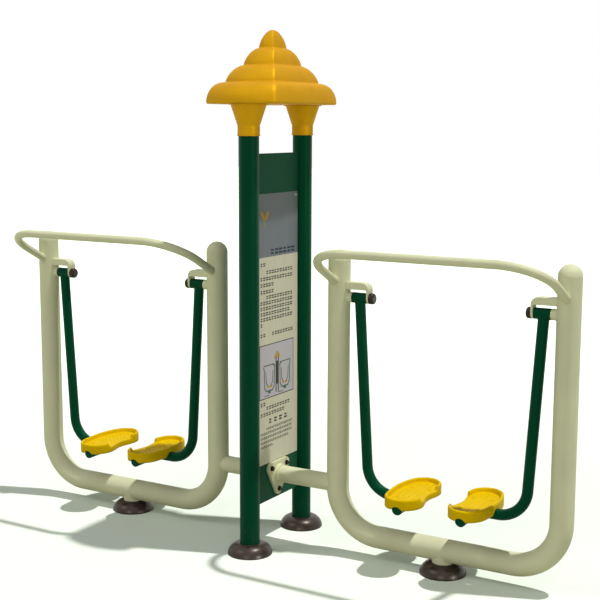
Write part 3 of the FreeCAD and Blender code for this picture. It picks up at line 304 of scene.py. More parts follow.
# The roof's yellow holds a little pearl pigment, fine metal-like flakes that turn its highlights golden.
roof_plastic = moulded_plastic(
    "rotomoulded_polyethylene_yellow", "CF9B15", roughness=0.54, shine=0.15, pearl=0.3, pebble_mm=6,
    pebble_depth=0.5, scuff_colour="E8C060", tint="FFB020")
pedal_plastic = moulded_plastic(
    "injection_moulded_polypropylene_yellow", "E3BC04", roughness=0.5, shine=0.06, pearl=0.0, pebble_mm=3,
    pebble_depth=0.15, scuff_colour="F0D868", tint="FFD040")
brown_plastic = moulded_plastic(
    "injection_moulded_polyethylene_brown", "2B211B", roughness=0.33, shine=0.42, pearl=0.0, pebble_mm=3,
    pebble_depth=0.12, scuff_colour="5E4C44", tint="FFF0E0")
dark_plastic = moulded_plastic(
    "injection_moulded_polyamide_dark_brown", "160E0B", roughness=0.28, shine=0.3, pearl=0.0, pebble_mm=3,
    pebble_depth=0.10, scuff_colour="3A2C28", tint="FFD8D0")
print("plastics:", roof_plastic.name, pedal_plastic.name, brown_plastic.name, dark_plastic.name)

# %% [markdown]
# ## Bare and plated steel
# Bolts, nuts and base plates are zinc-plated, a pale grey metal with a faint patchy bloom. The bolts of
# the link flanges are black-oxide. Axles and bearing rings are ground steel. The rivets are tumbled
# aluminium.

# %% Metals
def bare_metal(name, colour, roughness, bloom_mm):
    """Metal whose colour and gloss change softly from place to place."""
    material, tree, place = start_finish(name)
    bloom = add(tree, "TexNoise", {"Vector": place, "Scale": 1000 / bloom_mm, "Detail": 4.0})
    skin = add(tree, "Mix", {MIX_BY: bloom.outputs["Fac"], MIX_A: linear(colour, 0.80),
                             MIX_B: linear(colour, 1.10)}, data_type="RGBA")
    gloss = add(tree, "MapRange", {"Value": bloom.outputs["Fac"], "To Min": roughness - 0.08,
                                   "To Max": roughness + 0.10})
    rounded = worn_edge(tree, 0.5)[0]
    # Plating has a grain of a few hundredths of a millimetre. It is drawn 1.5 mm wide.
    pits = add(tree, "TexNoise", {"Vector": place, "Scale": 1000 / 1.5})
    grain = add(tree, "Bump", {"Height": pits.outputs["Fac"], "Strength": 0.15, "Distance": 0.0001,
                               "Normal": rounded})
    surface = add(tree, "BsdfPrincipled", {"Base Color": skin.outputs[MIX_OUT], "Metallic": 1.0,
                                           "Roughness": gloss.outputs[0], "Normal": grain.outputs[0]})
    add(tree, "OutputMaterial", {"Surface": surface.outputs[0]})
    return material


zinc_steel = bare_metal("zinc_plated_steel", "B4B6B4", roughness=0.38, bloom_mm=6)
black_steel = bare_metal("black_oxide_steel", "26201C", roughness=0.45, bloom_mm=8)
ground_steel = bare_metal("ground_bearing_steel", "C2C2BE", roughness=0.22, bloom_mm=3)
rivet_aluminium = bare_metal("tumbled_aluminium", "CDCDCB", roughness=0.35, bloom_mm=4)
print("metals:", zinc_steel.name, black_steel.name, ground_steel.name, rivet_aluminium.name)

# %% [markdown]
# ## Printed sign
# The sign is an aluminium sheet with a printed, matt lacquered face: a slate band on top and warm beige
# below. The two grounds are one material that changes colour at a height. The lines and the picture are
# printed over them in screen inks, which are thin and matt.

# %% Sign grounds and inks
sign_band_bottom = 1.364


def printed_sheet(name):
    """Slate above the band's lower edge and beige below it, a little faded and streaked by rain."""
    material, tree, place = start_finish(name)
    height = add(tree, "SeparateXYZ", {0: place}).outputs["Z"]
    band = add(tree, "Math", {0: height, 1: sign_band_bottom}, operation="GREATER_THAN")
    ground = add(tree, "Mix", {MIX_BY: band.outputs[0], MIX_A: linear("E0DCC4"),
                               MIX_B: linear("70757F")}, data_type="RGBA")
    # Rain runs down in streaks about 12 mm apart, so the pattern is stretched along the height.
    stretched = add(tree, "Mapping", {"Vector": place, "Scale": (1.0, 1.0, 0.06)})
    streaks = add(tree, "TexNoise", {"Vector": stretched.outputs[0], "Scale": 1000 / 12, "Detail": 3.0})
    fade = add(tree, "MapRange", {"Value": streaks.outputs["Fac"], "From Min": 0.3, "From Max": 0.75,
                                  "To Max": 0.16})
    faded = add(tree, "Mix", {MIX_BY: fade.outputs[0], MIX_A: ground.outputs[MIX_OUT],
                              MIX_B: linear("A9A797")}, data_type="RGBA")
    gloss = add(tree, "MapRange", {"Value": streaks.outputs["Fac"], "To Min": 0.38, "To Max": 0.55})
    ripple = add(tree, "TexNoise", {"Vector": place, "Scale": 1000 / 60})
    soft = add(tree, "Bump", {"Height": ripple.outputs["Fac"], "Strength": 0.15, "Distance": 0.001})
    surface = add(tree, "BsdfPrincipled", {"Base Color": faded.outputs[MIX_OUT],
                                           "Roughness": gloss.outputs[0], "IOR": 1.5,
                                           "Specular IOR Level": 0.25, "Normal": soft.outputs[0]})
    add(tree, "OutputMaterial", {"Surface": surface.outputs[0]})
    return material


def screen_ink(name, colour):
    """Thin matt ink whose cover is a little uneven."""
    material, tree, place = start_finish(name)
    cover = add(tree, "TexNoise", {"Vector": place, "Scale": 1000 / 5, "Detail": 3.0})
    ink = add(tree, "Mix", {MIX_BY: cover.outputs["Fac"], MIX_A: linear(colour, 0.8),
                            MIX_B: linear(colour, 1.2)}, data_type="RGBA")
    gloss = add(tree, "MapRange", {"Value": cover.outputs["Fac"], "To Min": 0.5, "To Max": 0.65})
    tooth = add(tree, "Bump", {"Height": cover.outputs["Fac"], "Strength": 0.1, "Distance": 0.0001})
    surface = add(tree, "BsdfPrincipled", {"Base Color": ink.outputs[MIX_OUT],
                                           "Roughness": gloss.outputs[0], "IOR": 1.5,
                                           "Specular IOR Level": 0.25, "Normal": tooth.outputs[0]})
    add(tree, "OutputMaterial", {"Surface": surface.outputs[0]})
    return material


sign_face = printed_sheet("screen_printed_aluminium_sheet")
dark_ink = screen_ink("screen_ink_dark_grey", "33352F")
blue_ink = screen_ink("screen_ink_night_blue", "22263A")
ochre_ink = screen_ink("screen_ink_ochre", "C09A2C")
green_ink = screen_ink("screen_ink_grey_green", "4E6458")
pale_ink = screen_ink("screen_ink_pale_lilac", "CBC7CE")
print("sign:", sign_face.name, "with five inks")

# %% [markdown]
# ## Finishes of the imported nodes
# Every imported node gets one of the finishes, also the few that a new piece will replace. The four swing
# arms are alike, so their nodes are named in a loop.

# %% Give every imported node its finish
# Middle of the arm's frame along X, in metres, and the side of the frame on which the arm hangs.
arms = {"arm_1": (-0.870, -1), "arm_2": (-0.870, 1), "arm_3": (0.870, -1), "arm_4": (0.870, 1)}
finishes = {
    cream_coat: ["frame_tees", "frame_post_caps", "frame_foot_stubs", "link_tubes", "link_flanges",
                 "pivot_brackets", "pivot_bosses", "handrail_left", "handrail_right", "frame_tube_left_a",
                 "frame_tube_left_b", "frame_tube_right_a", "frame_tube_right_b"],
    green_coat: ["tower_post_front", "tower_post_rear"],
    panel_coat: ["tower_panel"],
    roof_plastic: ["roof_cap", "roof_sockets"],
    brown_plastic: ["foot_covers"],
    dark_plastic: ["nut_caps"],
    zinc_steel: ["base_plates", "roof_screws", "axle_nuts"],
    black_steel: ["flange_bolts", "flange_nuts"],
    ground_steel: ["pivot_axles", "bearing_inner_rings", "pivot_spacers", "thrust_washers"],
    rivet_aluminium: ["sign_rivets"],
    sign_face: ["sign_plate"],
    pedal_plastic: [],
}
for arm in arms:
    finishes[green_coat] += [arm + "_tube", arm + "_housing", arm + "_pedal_tube", arm + "_pedal_plates"]
    finishes[pedal_plastic].append(arm + "_pedal")
    finishes[zinc_steel].append(arm + "_pedal_bolts")
    finishes[ground_steel].append(arm + "_bearings")
for material, names in finishes.items():
    for name in names:
        nodes[name].data.materials.clear()
        nodes[name].data.materials.append(material)
print(sum(len(names) for names in finishes.values()), "nodes have a finish, of", len(nodes))

# %% [markdown]
# ## New pieces
# Each new piece is drawn with bmesh in its place on the object, in metres. One helper turns the finished
# bmesh into an object that rides on a body of the frame. It merges doubles, turns the faces outwards,
# shades soft forms smooth, and keeps edges sharper than an angle crisp.

# %% Helper that makes a bmesh a riding piece
same_place = 1e-6


def make_piece(name, bm, body, material, crisp_angle=40):
    """A piece from a bmesh, riding on a body and its finish."""
    bmesh.ops.remove_doubles(bm, verts=bm.verts, dist=same_place)
    bmesh.ops.recalc_face_normals(bm, faces=bm.faces)
    mesh = bpy.data.meshes.new(name)
    bm.to_mesh(mesh)
    bm.free()
    mesh.shade_smooth()
    mesh.set_sharp_from_angle(angle=math.radians(crisp_angle))
    mesh.materials.append(material)
    piece = bpy.data.objects.new(name, mesh)
    bpy.context.scene.collection.objects.link(piece)
    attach(piece, body)
    print(name, "has", len(mesh.polygons), "faces")
    return piece


# %% [markdown]
# ## Roof
# The roof is one moulding with four tiers. Seen from above it is a rectangle with bulging sides and soft
# hips. It starts as one flat face whose corners are rounded and whose sides are pushed out. That outline
# is extruded upwards ring by ring and drawn in, along the curve of each tier's side. The curve is a
# superellipse: a fullness of 2 gives a quarter of an ellipse, a lower one a flatter slope. Last, the
# brim's lower edge is rounded, and the corners where one tier stands on the next are filled a little, as
# melted plastic fills them.

# %% Roof outline
roof_middle = Vector((-0.020, 0, 0))
corner_x, corner_y = 0.184, 0.273
corner_cut = 0.012
bulge_x, bulge_y = 0.014, 0.046

# Bottom and top height, half width at the bottom and at the top, and fullness of the curve between them.
tiers = [(2.055, 2.152, 0.200, 0.142, 2.2), (2.152, 2.229, 0.142, 0.088, 1.55),
         (2.229, 2.3065, 0.088, 0.042, 1.55), (2.3065, 2.388, 0.042, 0.005, 1.55)]
roof_bottom, brim_half = tiers[0][0], tiers[0][2]

roof = bmesh.new()
bmesh.ops.create_grid(roof, x_segments=1, y_segments=1, size=1)
bmesh.ops.scale(roof, vec=(corner_x, corner_y, 1), verts=roof.verts)
bmesh.ops.bevel(roof, geom=roof.verts[:], offset=corner_cut, offset_type="OFFSET", segments=5, profile=0.5,
                affect="VERTICES", material=-1)
sides = [edge for edge in roof.edges if edge.calc_length() > corner_x]
bmesh.ops.subdivide_edges(roof, edges=sides, cuts=19)
# A side bulges most in its middle. The sixth power leaves the other two sides where they are.
for vert in roof.verts:
    x, y = vert.co.x, vert.co.y
    vert.co.x += math.copysign(bulge_x * (1 - (y / corner_y) ** 2) * (abs(x) / corner_x) ** 6, x)
    vert.co.y += math.copysign(bulge_y * (1 - (x / corner_x) ** 2) * (abs(y) / corner_y) ** 6, y)
bmesh.ops.translate(roof, vec=roof_middle + Vector((0, 0, roof_bottom)), verts=roof.verts)
print("roof outline has", len(roof.verts), "points")

# %% Roof tiers
ring = roof.edges[:]
half_now = brim_half
for low, high, wide, narrow, fullness in tiers:
    for degrees in range(10, 100, 10):
        angle = math.radians(degrees)
        half = narrow + (wide - narrow) * max(math.cos(angle), 0) ** (2 / fullness)
        height = low + (high - low) * math.sin(angle) ** (2 / fullness)
        fresh = bmesh.ops.extrude_edge_only(roof, edges=ring)["geom"]
        ring = [item for item in fresh if isinstance(item, bmesh.types.BMEdge)]
        lifted = [item for item in fresh if isinstance(item, bmesh.types.BMVert)]
        share = half / half_now
        bmesh.ops.scale(roof, vec=(share, share, 1), verts=lifted, space=Matrix.Translation(-roof_middle))
        for vert in lifted:
            vert.co.z = height
        half_now = half
bmesh.ops.contextual_create(roof, geom=ring)

corner_fills = (0.009, 0.004, 0.004, 0.003)
for tier, fill in zip(tiers, corner_fills):
    level = [edge for edge in roof.edges if all(abs(vert.co.z - tier[0]) < 1e-5 for vert in edge.verts)]
    bmesh.ops.bevel(roof, geom=level, offset=fill, offset_type="OFFSET", segments=3, profile=0.5,
                    affect="EDGES", material=-1)
roof_shell = make_piece("roof_shell", roof, "stand", roof_plastic, crisp_angle=60)
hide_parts("roof_cap")

# %% [markdown]
# ## Pedals
# A pedal is a moulded tray the shape of a sole, with a fat rounded rim that is open at the inner waist,
# where the two feet pass each other. Its skirt reaches down over the tube that carries it, with a low arch
# at the toe and a higher one where the arm comes in. All four are the same moulding or its mirror image,
# so one function draws it. A closed curve through a few places gives the outline. Repeated insets follow
# the outline inwards, and each new ring is lifted to the rim's profile. The wall gets its thickness from a
# Solidify modifier.

# %% Pedal sizes
# Places on the outline in millimetres from the pedal tube's axis. X points to the outer side, Y to the heel.
pedal_places = [(92, -60), (79, 129), (51, 174), (0, 195), (-49, 174), (-75, 129), (-66, 5), (-82, -104),
                (-53, -156), (0, -177), (60, -156)]
pedal_axis_x, pedal_axis_z = 0.149, 0.312
pedal_pitch = math.radians(1.0)
tread_z = 0.3405
skirt_bottom_z = 0.313
rim_open_front, rim_open_rear = -0.098, 0.090
rim_end_length = 0.004
toe_arch_half_width, toe_arch_drop = 0.0248, 0.013
arch_radius = 0.028
arm_arch_top = tread_z - 0.0045

# Distance from the outline, and height above the tread where the rim stands and where it is open, in
# millimetres.
rim_profile = [(0.0, 13.0, -2.0), (0.7, 15.8, -0.7), (2.2, 18.3, -0.1), (4.4, 19.7, 0.0), (7.0, 20.0, 0.0),
               (9.6, 19.5, 0.0), (11.8, 17.8, 0.0), (13.2, 15.0, 0.0), (13.8, 11.0, 0.0), (14.3, 3.2, 0.0),
               (15.3, 0.9, 0.0), (17.0, 0.0, 0.0)]


def pedal_outline_mesh():
    """Smooth closed line through the outline's places, as a mesh of short edges."""
    curve = bpy.data.curves.new("pedal_outline", "CURVE")
    curve.dimensions = "3D"
    curve.resolution_u = 18
    spline = curve.splines.new("BEZIER")
    spline.bezier_points.add(len(pedal_places) - 1)
    for point, (x, y) in zip(spline.bezier_points, pedal_places):
        point.co = (x * MM, y * MM, tread_z)
        point.handle_left_type = "AUTO"
        point.handle_right_type = "AUTO"
    spline.use_cyclic_u = True
    guide = bpy.data.objects.new("pedal_outline", curve)
    mesh = bpy.data.meshes.new_from_object(guide)
    bpy.data.objects.remove(guide)
    return mesh


outline_mesh = pedal_outline_mesh()
print("pedal outline has", len(outline_mesh.vertices), "points")

# %% Pedal tray
def rim_share(spot):
    """1 where the rim stands, 0 where it is open at the inner waist."""
    if spot.x > 0:
        return 1.0
    past_end = max(rim_open_front - spot.y, spot.y - rim_open_rear)
    return min(max(past_end / rim_end_length + 0.5, 0.0), 1.0)


def skirt_edge(spot):
    """Height of the skirt's lower edge, with the arch at the toe and the one for the arm."""
    edge = skirt_bottom_z
    if spot.y < 0 and abs(spot.x) < toe_arch_half_width:
        arch = math.sqrt(arch_radius ** 2 - spot.x ** 2)
        edge = max(edge, skirt_bottom_z - toe_arch_drop + arch)
    if spot.x > 0 and abs(spot.y) < arch_radius:
        arch = math.sqrt(arch_radius ** 2 - spot.y ** 2)
        edge = max(edge, min(pedal_axis_z + arch, arm_arch_top))
    return edge


def pedal_tray():
    """Tray with its rim and skirt, drawn on the pedal tube's axis, as a bmesh."""
    bm = bmesh.new()
    bm.from_mesh(outline_mesh)
    bmesh.ops.remove_doubles(bm, verts=bm.verts, dist=same_place)
    tread = bmesh.ops.contextual_create(bm, geom=bm.edges[:])["faces"][0]
    tread.normal_update()
    if tread.normal.z < 0:
        tread.normal_flip()
    shares = [rim_share(vert.co) for vert in tread.verts]
    past = 0.0
    for distance, over_rim, open_edge in rim_profile:
        if distance:
            bmesh.ops.inset_region(bm, faces=[tread], thickness=(distance - past) * MM,
                                   use_boundary=True, use_even_offset=True)
            past = distance
        for vert, share in zip(tread.verts, shares):
            vert.co.z = tread_z + (share * over_rim + (1 - share) * open_edge) * MM
    # The skirt goes down from the outline in four steps, each a share of the way to its lower edge.
    ring = [edge for edge in bm.edges if edge.is_boundary]
    tops = {}
    for step in (0.2, 0.5, 0.8, 1.0):
        fresh = bmesh.ops.extrude_edge_only(bm, edges=ring)["geom"]
        ring = [item for item in fresh if isinstance(item, bmesh.types.BMEdge)]
        for vert in fresh:
            if isinstance(vert, bmesh.types.BMVert):
                key = (round(vert.co.x, 6), round(vert.co.y, 6))
                top = tops.setdefault(key, vert.co.z)
                vert.co.z = top + (skirt_edge(vert.co) - top) * step
    return bm


def carried_by(bm, arm):
    """Moves what is drawn on the pedal tube's axis to its arm, tilted and mirrored as the tube is."""
    frame_x, side = arms[arm]
    axis = Matrix.Translation((0, 0, pedal_axis_z))
    tilt = axis @ Matrix.Rotation(pedal_pitch, 4, "X") @ axis.inverted()
    onto_arm = Matrix.Translation((frame_x + side * pedal_axis_x, 0, 0)) @ Matrix.Diagonal((side, 1, 1, 1))
    bmesh.ops.transform(bm, matrix=onto_arm @ tilt, verts=bm.verts)


for arm in arms:
    tray = pedal_tray()
    carried_by(tray, arm)
    pedal = make_piece(arm + "_pedal_tray", tray, arm, pedal_plastic)
    wall = pedal.modifiers.new("wall", "SOLIDIFY")
    wall.thickness = 0.004
    wall.offset = -1
    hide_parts(arm + "_pedal")
    lowest = min(vert.co.z for vert in pedal.data.vertices)
    print(arm, "skirt down to", round(lowest, 4))

# %% [markdown]
# ## Tread
# Rows of low round studs stop the shoe from slipping. The four bolts that hold the tray have yellow caps.
# Studs and caps are flattened balls, sunk in the tread to their middle. A stud is repeated more than a
# hundred times, so it has only a few dozen faces.

# %% Studs and bolt caps
def low_dome(bm, x, y, radius, height):
    """Flattened ball whose upper half stands on the tread as a low dome."""
    made = bmesh.ops.create_uvsphere(bm, u_segments=14, v_segments=6, radius=1)["verts"]
    bmesh.ops.scale(bm, vec=(radius, radius, height), verts=made)
    bmesh.ops.translate(bm, vec=(x, y, tread_z), verts=made)


stud_pitch_x, stud_pitch_y = 0.027, 0.028
stud_radius, stud_height = 0.0065, 0.002
middle_row_y = 0.009
stud_to_outline, stud_to_bolt = 0.024, 0.017
tread_half_width, tread_front, tread_rear = 0.075, -0.160, 0.178
cap_radius, cap_height = 0.0102, 0.0046
bolt_places = [(x, y) for x in (-0.042, 0.042) for y in (-0.078, 0.078)]
outline_points = [vert.co.copy() for vert in outline_mesh.vertices]
for arm in arms:
    studs = bmesh.new()
    for row in range(-7, 8):
        for column in range(-3, 4):
            x, y = column * stud_pitch_x, middle_row_y + row * stud_pitch_y
            spot = Vector((x, y, tread_z))
            to_outline = min((spot - point).length for point in outline_points)
            to_bolts = min(math.hypot(x - bolt_x, y - bolt_y) for bolt_x, bolt_y in bolt_places)
            on_tread = abs(x) < tread_half_width and tread_front < y < tread_rear
            if on_tread and to_outline > stud_to_outline and to_bolts > stud_to_bolt:
                low_dome(studs, x, y, stud_radius, stud_height)
    carried_by(studs, arm)
    make_piece(arm + "_tread_studs", studs, arm, pedal_plastic)
    caps = bmesh.new()
    for bolt_x, bolt_y in bolt_places:
        low_dome(caps, bolt_x, bolt_y, cap_radius, cap_height)
    carried_by(caps, arm)
    make_piece(arm + "_bolt_caps", caps, arm, pedal_plastic)

# %% [markdown]
# ## Weld beads
# Where a tube is welded to another, a ripple of steel runs round the joint under the paint. Each bead is
# a ring drawn round the joining tube and dropped along it onto the tube that it meets, so it follows the
# saddle between the two. Its thickness swells and shrinks as a hand-made weld does. Thicknesses are given
# as the bead's radius in millimetres.

# %% Weld beads
def surface_tree(names):
    """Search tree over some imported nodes, for dropping points onto them."""
    surface = bmesh.new()
    for name in names:
        surface.from_mesh(nodes[name].data)
    tree = BVHTree.FromBMesh(surface)
    surface.free()
    return tree


def dropped_ring(target, start, along, radius, points=72):
    """Ring round an axis, each point dropped along the axis onto the target."""
    turn = Vector(along).normalized().to_track_quat("Z", "Y").to_matrix()
    ring = []
    for index in range(points):
        angle = math.tau * index / points
        spot = Vector(start) + turn @ Vector((radius * math.cos(angle), radius * math.sin(angle), 0))
        hit = target.ray_cast(spot, Vector(along).normalized())[0]
        if hit is not None:
            ring.append(hit)
    return ring


ripple_share, ripple_step = 0.18, 2.4


def bead(bm, ring, thickness, closed=True):
    """Rippled bead along a line of points, added to a bmesh."""
    curve = bpy.data.curves.new("bead", "CURVE")
    curve.dimensions = "3D"
    curve.bevel_depth = thickness * MM
    curve.bevel_resolution = 2
    curve.use_fill_caps = not closed
    spline = curve.splines.new("POLY")
    spline.points.add(len(ring) - 1)
    for index, (point, spot) in enumerate(zip(spline.points, ring)):
        point.co = (*spot, 1)
        point.radius = 1.0 + ripple_share * math.sin(index * ripple_step)
    spline.use_cyclic_u = closed
    guide = bpy.data.objects.new("bead", curve)
    bm.from_mesh(bpy.data.meshes.new_from_object(guide))
    bpy.data.objects.remove(guide)


print("a bead's thickness changes by", ripple_share, "of itself")

# %% Welds of the frames
post_x, pivot_z, rail_end_z, link_z = 0.535, 1.199, 1.250, 0.325
rail_fall = Vector((0, 0.334, -0.1805))
# Radius of the ring round each joining tube, in metres.
rail_ring, boss_ring, foot_ring, link_ring = 0.0200, 0.0255, 0.0495, 0.0412
rail_bead, boss_bead, foot_bead, link_bead = 2.6, 2.2, 2.8, 2.8
# Each ring starts in the open, before the surface that it drops onto.
rail_lead, boss_lead = 0.20, 0.075
foot_start_z, link_start_x = 0.02, 0.25

frame_welds = bmesh.new()
posts = surface_tree(["frame_tube_left_a", "frame_tube_left_b", "frame_tube_right_a", "frame_tube_right_b",
                      "frame_tees"])
for frame_x in (-0.870, 0.870):
    for side in (-1, 1):
        x = frame_x + side * post_x
        rail_start = Vector((x, 0, rail_end_z)) - rail_fall.normalized() * rail_lead
        bead(frame_welds, dropped_ring(posts, rail_start, rail_fall, rail_ring), rail_bead)
        boss_start = (x - side * boss_lead, 0, pivot_z)
        bead(frame_welds, dropped_ring(posts, boss_start, (side, 0, 0), boss_ring), boss_bead)
    foot_start = (frame_x, 0, foot_start_z)
    bead(frame_welds, dropped_ring(posts, foot_start, (0, 0, 1), foot_ring), foot_bead)
for side in (-1, 1):
    link_start = (side * link_start_x, 0, link_z)
    bead(frame_welds, dropped_ring(posts, link_start, (side, 0, 0), link_ring), link_bead)
make_piece("frame_welds", frame_welds, "stand", cream_coat)

# %% Welds of the swing arms
arm_top_x = 0.429
lean = math.radians(3.5)
arm_ring, arm_bead = 0.0236, 2.3
housing_lead, pedal_tube_lead = 0.12, 0.1
for arm, (frame_x, side) in arms.items():
    arm_welds = bmesh.new()
    upwards = Vector((side * math.sin(lean), 0, math.cos(lean)))
    below_pivot = Vector((frame_x + side * arm_top_x, 0, pivot_z)) - upwards * housing_lead
    housing = surface_tree([arm + "_housing"])
    bead(arm_welds, dropped_ring(housing, below_pivot, upwards, arm_ring), arm_bead)
    beside_pedal_tube = (frame_x + side * (pedal_axis_x + pedal_tube_lead), 0, pedal_axis_z)
    pedal_tube = surface_tree([arm + "_pedal_tube"])
    bead(arm_welds, dropped_ring(pedal_tube, beside_pedal_tube, (-side, 0, 0), arm_ring), arm_bead)
    make_piece(arm + "_welds", arm_welds, arm, green_coat)

# %% Long seams between the tower's posts and its panel
seam_x, seam_y = 0.0045, 0.186
seam_bottom, seam_step, seam_points = 0.214, 0.0108, 151
seam_bead = 2.2
tower_welds = bmesh.new()
for y in (-seam_y, seam_y):
    for x in (-seam_x, seam_x):
        seam = [Vector((x, y, seam_bottom + seam_step * i)) for i in range(seam_points)]
        bead(tower_welds, seam, seam_bead, closed=False)
make_piece("tower_welds", tower_welds, "stand", green_coat)

# %% [markdown]
# ## Sign print
# The print shows how the machine is used: short lines of small print, which are only rows of plain dashes
# here, and a framed picture of the machine itself. On the band stand a sprig with two leaves and a heading,
# again as plain blocks. Every mark is a thin block that stands two tenths of a millimetre proud of the
# sheet. Rows are placed by a share of the sign's height, counted from its top.

# %% Print marks
sign_face_x = 0.005
ink_thickness = 0.0002
sign_top, sign_height = 1.654, 1.262
bend_overlap = 0.7


def mark(bm, y, z, width, height, turn=0.0):
    """Thin block of ink on the sign, given by its middle, its size and its turn in degrees."""
    onto_sign = Matrix.Translation((sign_face_x, y, z)) @ Matrix.Rotation(math.radians(turn), 4, "X")
    size = Matrix.Diagonal((2 * ink_thickness, width, height, 1))
    bmesh.ops.create_cube(bm, size=1, matrix=onto_sign @ size)


def stroke(bm, points, width):
    """Line of blocks from point to point, each point a (y, z) pair. The blocks overlap at the bends."""
    for (y0, z0), (y1, z1) in zip(points, points[1:]):
        length = math.hypot(y1 - y0, z1 - z0) + width * bend_overlap
        turn = math.degrees(math.atan2(z1 - z0, y1 - y0))
        mark(bm, (y0 + y1) / 2, (z0 + z1) / 2, length, width, turn)


def small_print(bm, share, start, count, pitch=0.0235, size=0.016):
    """Row of double dashes, at a share of the sign's height. Remainders make their widths change."""
    z = sign_top - share * sign_height
    for index in range(count):
        y = start + pitch * (index + 0.5)
        upper = size * (0.85 + 0.4 * (index * 7 % 3) / 2)
        lower = size * (0.85 + 0.4 * (index * 5 % 4) / 3)
        mark(bm, y, z + size * 0.30, upper, size * 0.36)
        mark(bm, y, z - size * 0.30, lower, size * 0.36)


print("the sign is", sign_height, "m high, its print", ink_thickness, "m thick")

# %% Rows of small print
left, indented = -0.149, -0.100
# Share of the height, start of the row and number of double dashes.
rows = [(0.256, left, 2), (0.285, indented, 10), (0.308, left, 12), (0.331, left, 5), (0.356, left, 5),
        (0.377, indented, 10), (0.397, left, 12), (0.417, left, 12), (0.437, left, 11), (0.457, left, 12),
        (0.477, left, 1), (0.515, left, 2), (0.515, -0.050, 8), (0.772, left, 2), (0.790, indented, 9),
        (0.812, left, 9)]
fine_rows = [(0.868, indented, 15), (0.884, left, 18), (0.900, left, 18), (0.917, left, 16), (0.934, left, 7)]
small_marks = bmesh.new()
for share, start, count in rows:
    small_print(small_marks, share, start, count)
for share, start, count in fine_rows:
    small_print(small_marks, share, start, count, pitch=0.0155, size=0.0105)
small_print(small_marks, 0.842, -0.085, 4, pitch=0.045, size=0.022)
make_piece("sign_small_print", small_marks, "stand", dark_ink)

# %% Heading and sprig on the band
heading = bmesh.new()
small_print(heading, 0.212, -0.062, 6, pitch=0.036, size=0.026)
make_piece("sign_heading", heading, "stand", blue_ink)

# The leaves are drawn lying down, where Y is their length, and then stood up on the sign.
leaf_half_width, leaf_half_length, leaf_middle = 0.011, 0.026, 0.028
sprig_y, sprig_z = -0.108, 1.532
stalk_z, stalk_width, stalk_length = 1.524, 0.005, 0.034
sprig = bmesh.new()
for turn in (-38, 38):
    leaf = bmesh.ops.create_circle(sprig, cap_ends=True, segments=20, radius=1)["verts"]
    bmesh.ops.scale(sprig, vec=(leaf_half_width, leaf_half_length, 1), verts=leaf)
    bmesh.ops.translate(sprig, vec=(0, leaf_middle, 0), verts=leaf)
    bmesh.ops.rotate(sprig, matrix=Matrix.Rotation(math.radians(turn), 3, "Z"), verts=leaf)
raised = bmesh.ops.extrude_face_region(sprig, geom=sprig.faces[:])["geom"]
raised_verts = [item for item in raised if isinstance(item, bmesh.types.BMVert)]
bmesh.ops.translate(sprig, vec=(0, 0, 2 * ink_thickness), verts=raised_verts)
upright = Matrix(((0, 0, 1), (1, 0, 0), (0, 1, 0))).to_4x4()
onto_band = Matrix.Translation((sign_face_x - ink_thickness, sprig_y, sprig_z)) @ upright
bmesh.ops.transform(sprig, matrix=onto_band, verts=sprig.verts)
mark(sprig, sprig_y, stalk_z, stalk_width, stalk_length)
make_piece("sign_sprig", sprig, "stand", ochre_ink)

# %% Ground and border of the picture
picture_left, picture_right = -0.152, 0.142
picture_top, picture_bottom = sign_top - 0.553 * sign_height, sign_top - 0.752 * sign_height
ground_mark = bmesh.new()
mark(ground_mark, (picture_left + picture_right) / 2, (picture_top + picture_bottom) / 2,
     picture_right - picture_left, picture_top - picture_bottom)
bmesh.ops.translate(ground_mark, vec=(-ink_thickness / 2, 0, 0), verts=ground_mark.verts)
make_piece("sign_picture_ground", ground_mark, "stand", pale_ink)

border = bmesh.new()
stroke(border, [(picture_left, picture_top), (picture_right, picture_top), (picture_right, picture_bottom),
                (picture_left, picture_bottom), (picture_left, picture_top)], width=0.004)
make_piece("sign_picture_border", border, "stand", dark_ink)

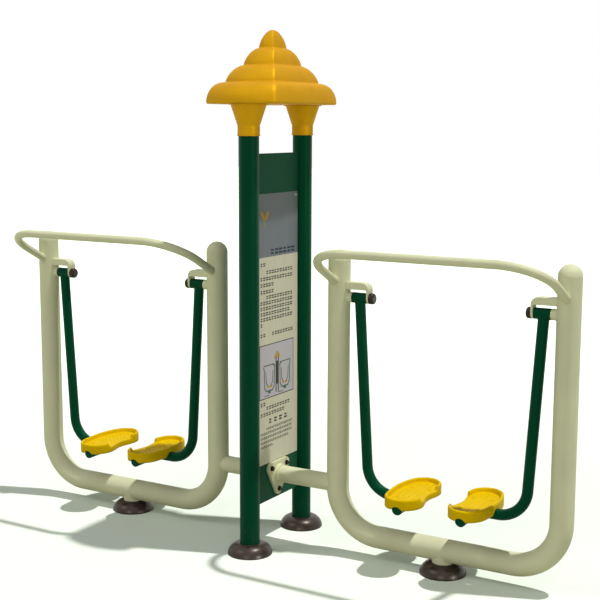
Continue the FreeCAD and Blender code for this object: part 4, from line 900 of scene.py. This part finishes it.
# %% The machine in the picture
# All is drawn from the picture's middle and from the foot line, on which the frames stand. A frame reaches
# from its near post to its far post, and the second one is the mirror image of the first.
middle, foot = -0.002, picture_bottom + 0.032
posts_of_frame = {side: (middle + side * 0.024, middle + side * 0.112) for side in (-1, 1)}

frames = bmesh.new()
for side, (near, far) in posts_of_frame.items():
    stroke(frames, [(near, foot + 0.106), (near + side * 0.003, foot + 0.018), (near + side * 0.018, foot),
                    (far - side * 0.018, foot), (far - side * 0.003, foot + 0.018), (far, foot + 0.106)],
           width=0.0065)
    stroke(frames, [(near + side * 0.012, foot + 0.118), (near - side * 0.004, foot + 0.110),
                    (near + side * 0.006, foot + 0.122), (far + side * 0.002, foot + 0.122),
                    (far + side * 0.006, foot + 0.108)], width=0.005)
    mark(frames, (near + far) / 2, foot - 0.008, 0.022, 0.010)
make_piece("sign_picture_frames", frames, "stand", green_ink)

# The arms, the two posts of the tower, the lines on the ground and the sign between the posts.
dark_lines = bmesh.new()
for side, (near, far) in posts_of_frame.items():
    for post, inwards in ((near, side), (far, -side)):
        stroke(dark_lines, [(post + inwards * 0.013, foot + 0.092), (post + inwards * 0.017, foot + 0.040),
                            (post + inwards * 0.030, foot + 0.024)], width=0.0045)
    tower_post = middle + side * 0.010
    stroke(dark_lines, [(tower_post, foot + 0.146), (tower_post, foot - 0.014)], width=0.008)
    stroke(dark_lines, [(middle - 0.05 + side * 0.06, foot - 0.020),
                        (middle - 0.01 + side * 0.06, foot - 0.022)], width=0.003)
mark(dark_lines, middle, foot + 0.076, 0.014, 0.110)
make_piece("sign_picture_dark_lines", dark_lines, "stand", dark_ink)

# The four tiers of the roof and the four pedals.
accents = bmesh.new()
for row, width in enumerate((0.052, 0.042, 0.030, 0.016)):
    mark(accents, middle, foot + 0.150 + 0.008 * row, width, 0.0075)
for pedal_y in (-0.078, -0.054, 0.054, 0.078):
    mark(accents, middle + pedal_y, foot + 0.020, 0.020, 0.009)
make_piece("sign_picture_accents", accents, "stand", ochre_ink)
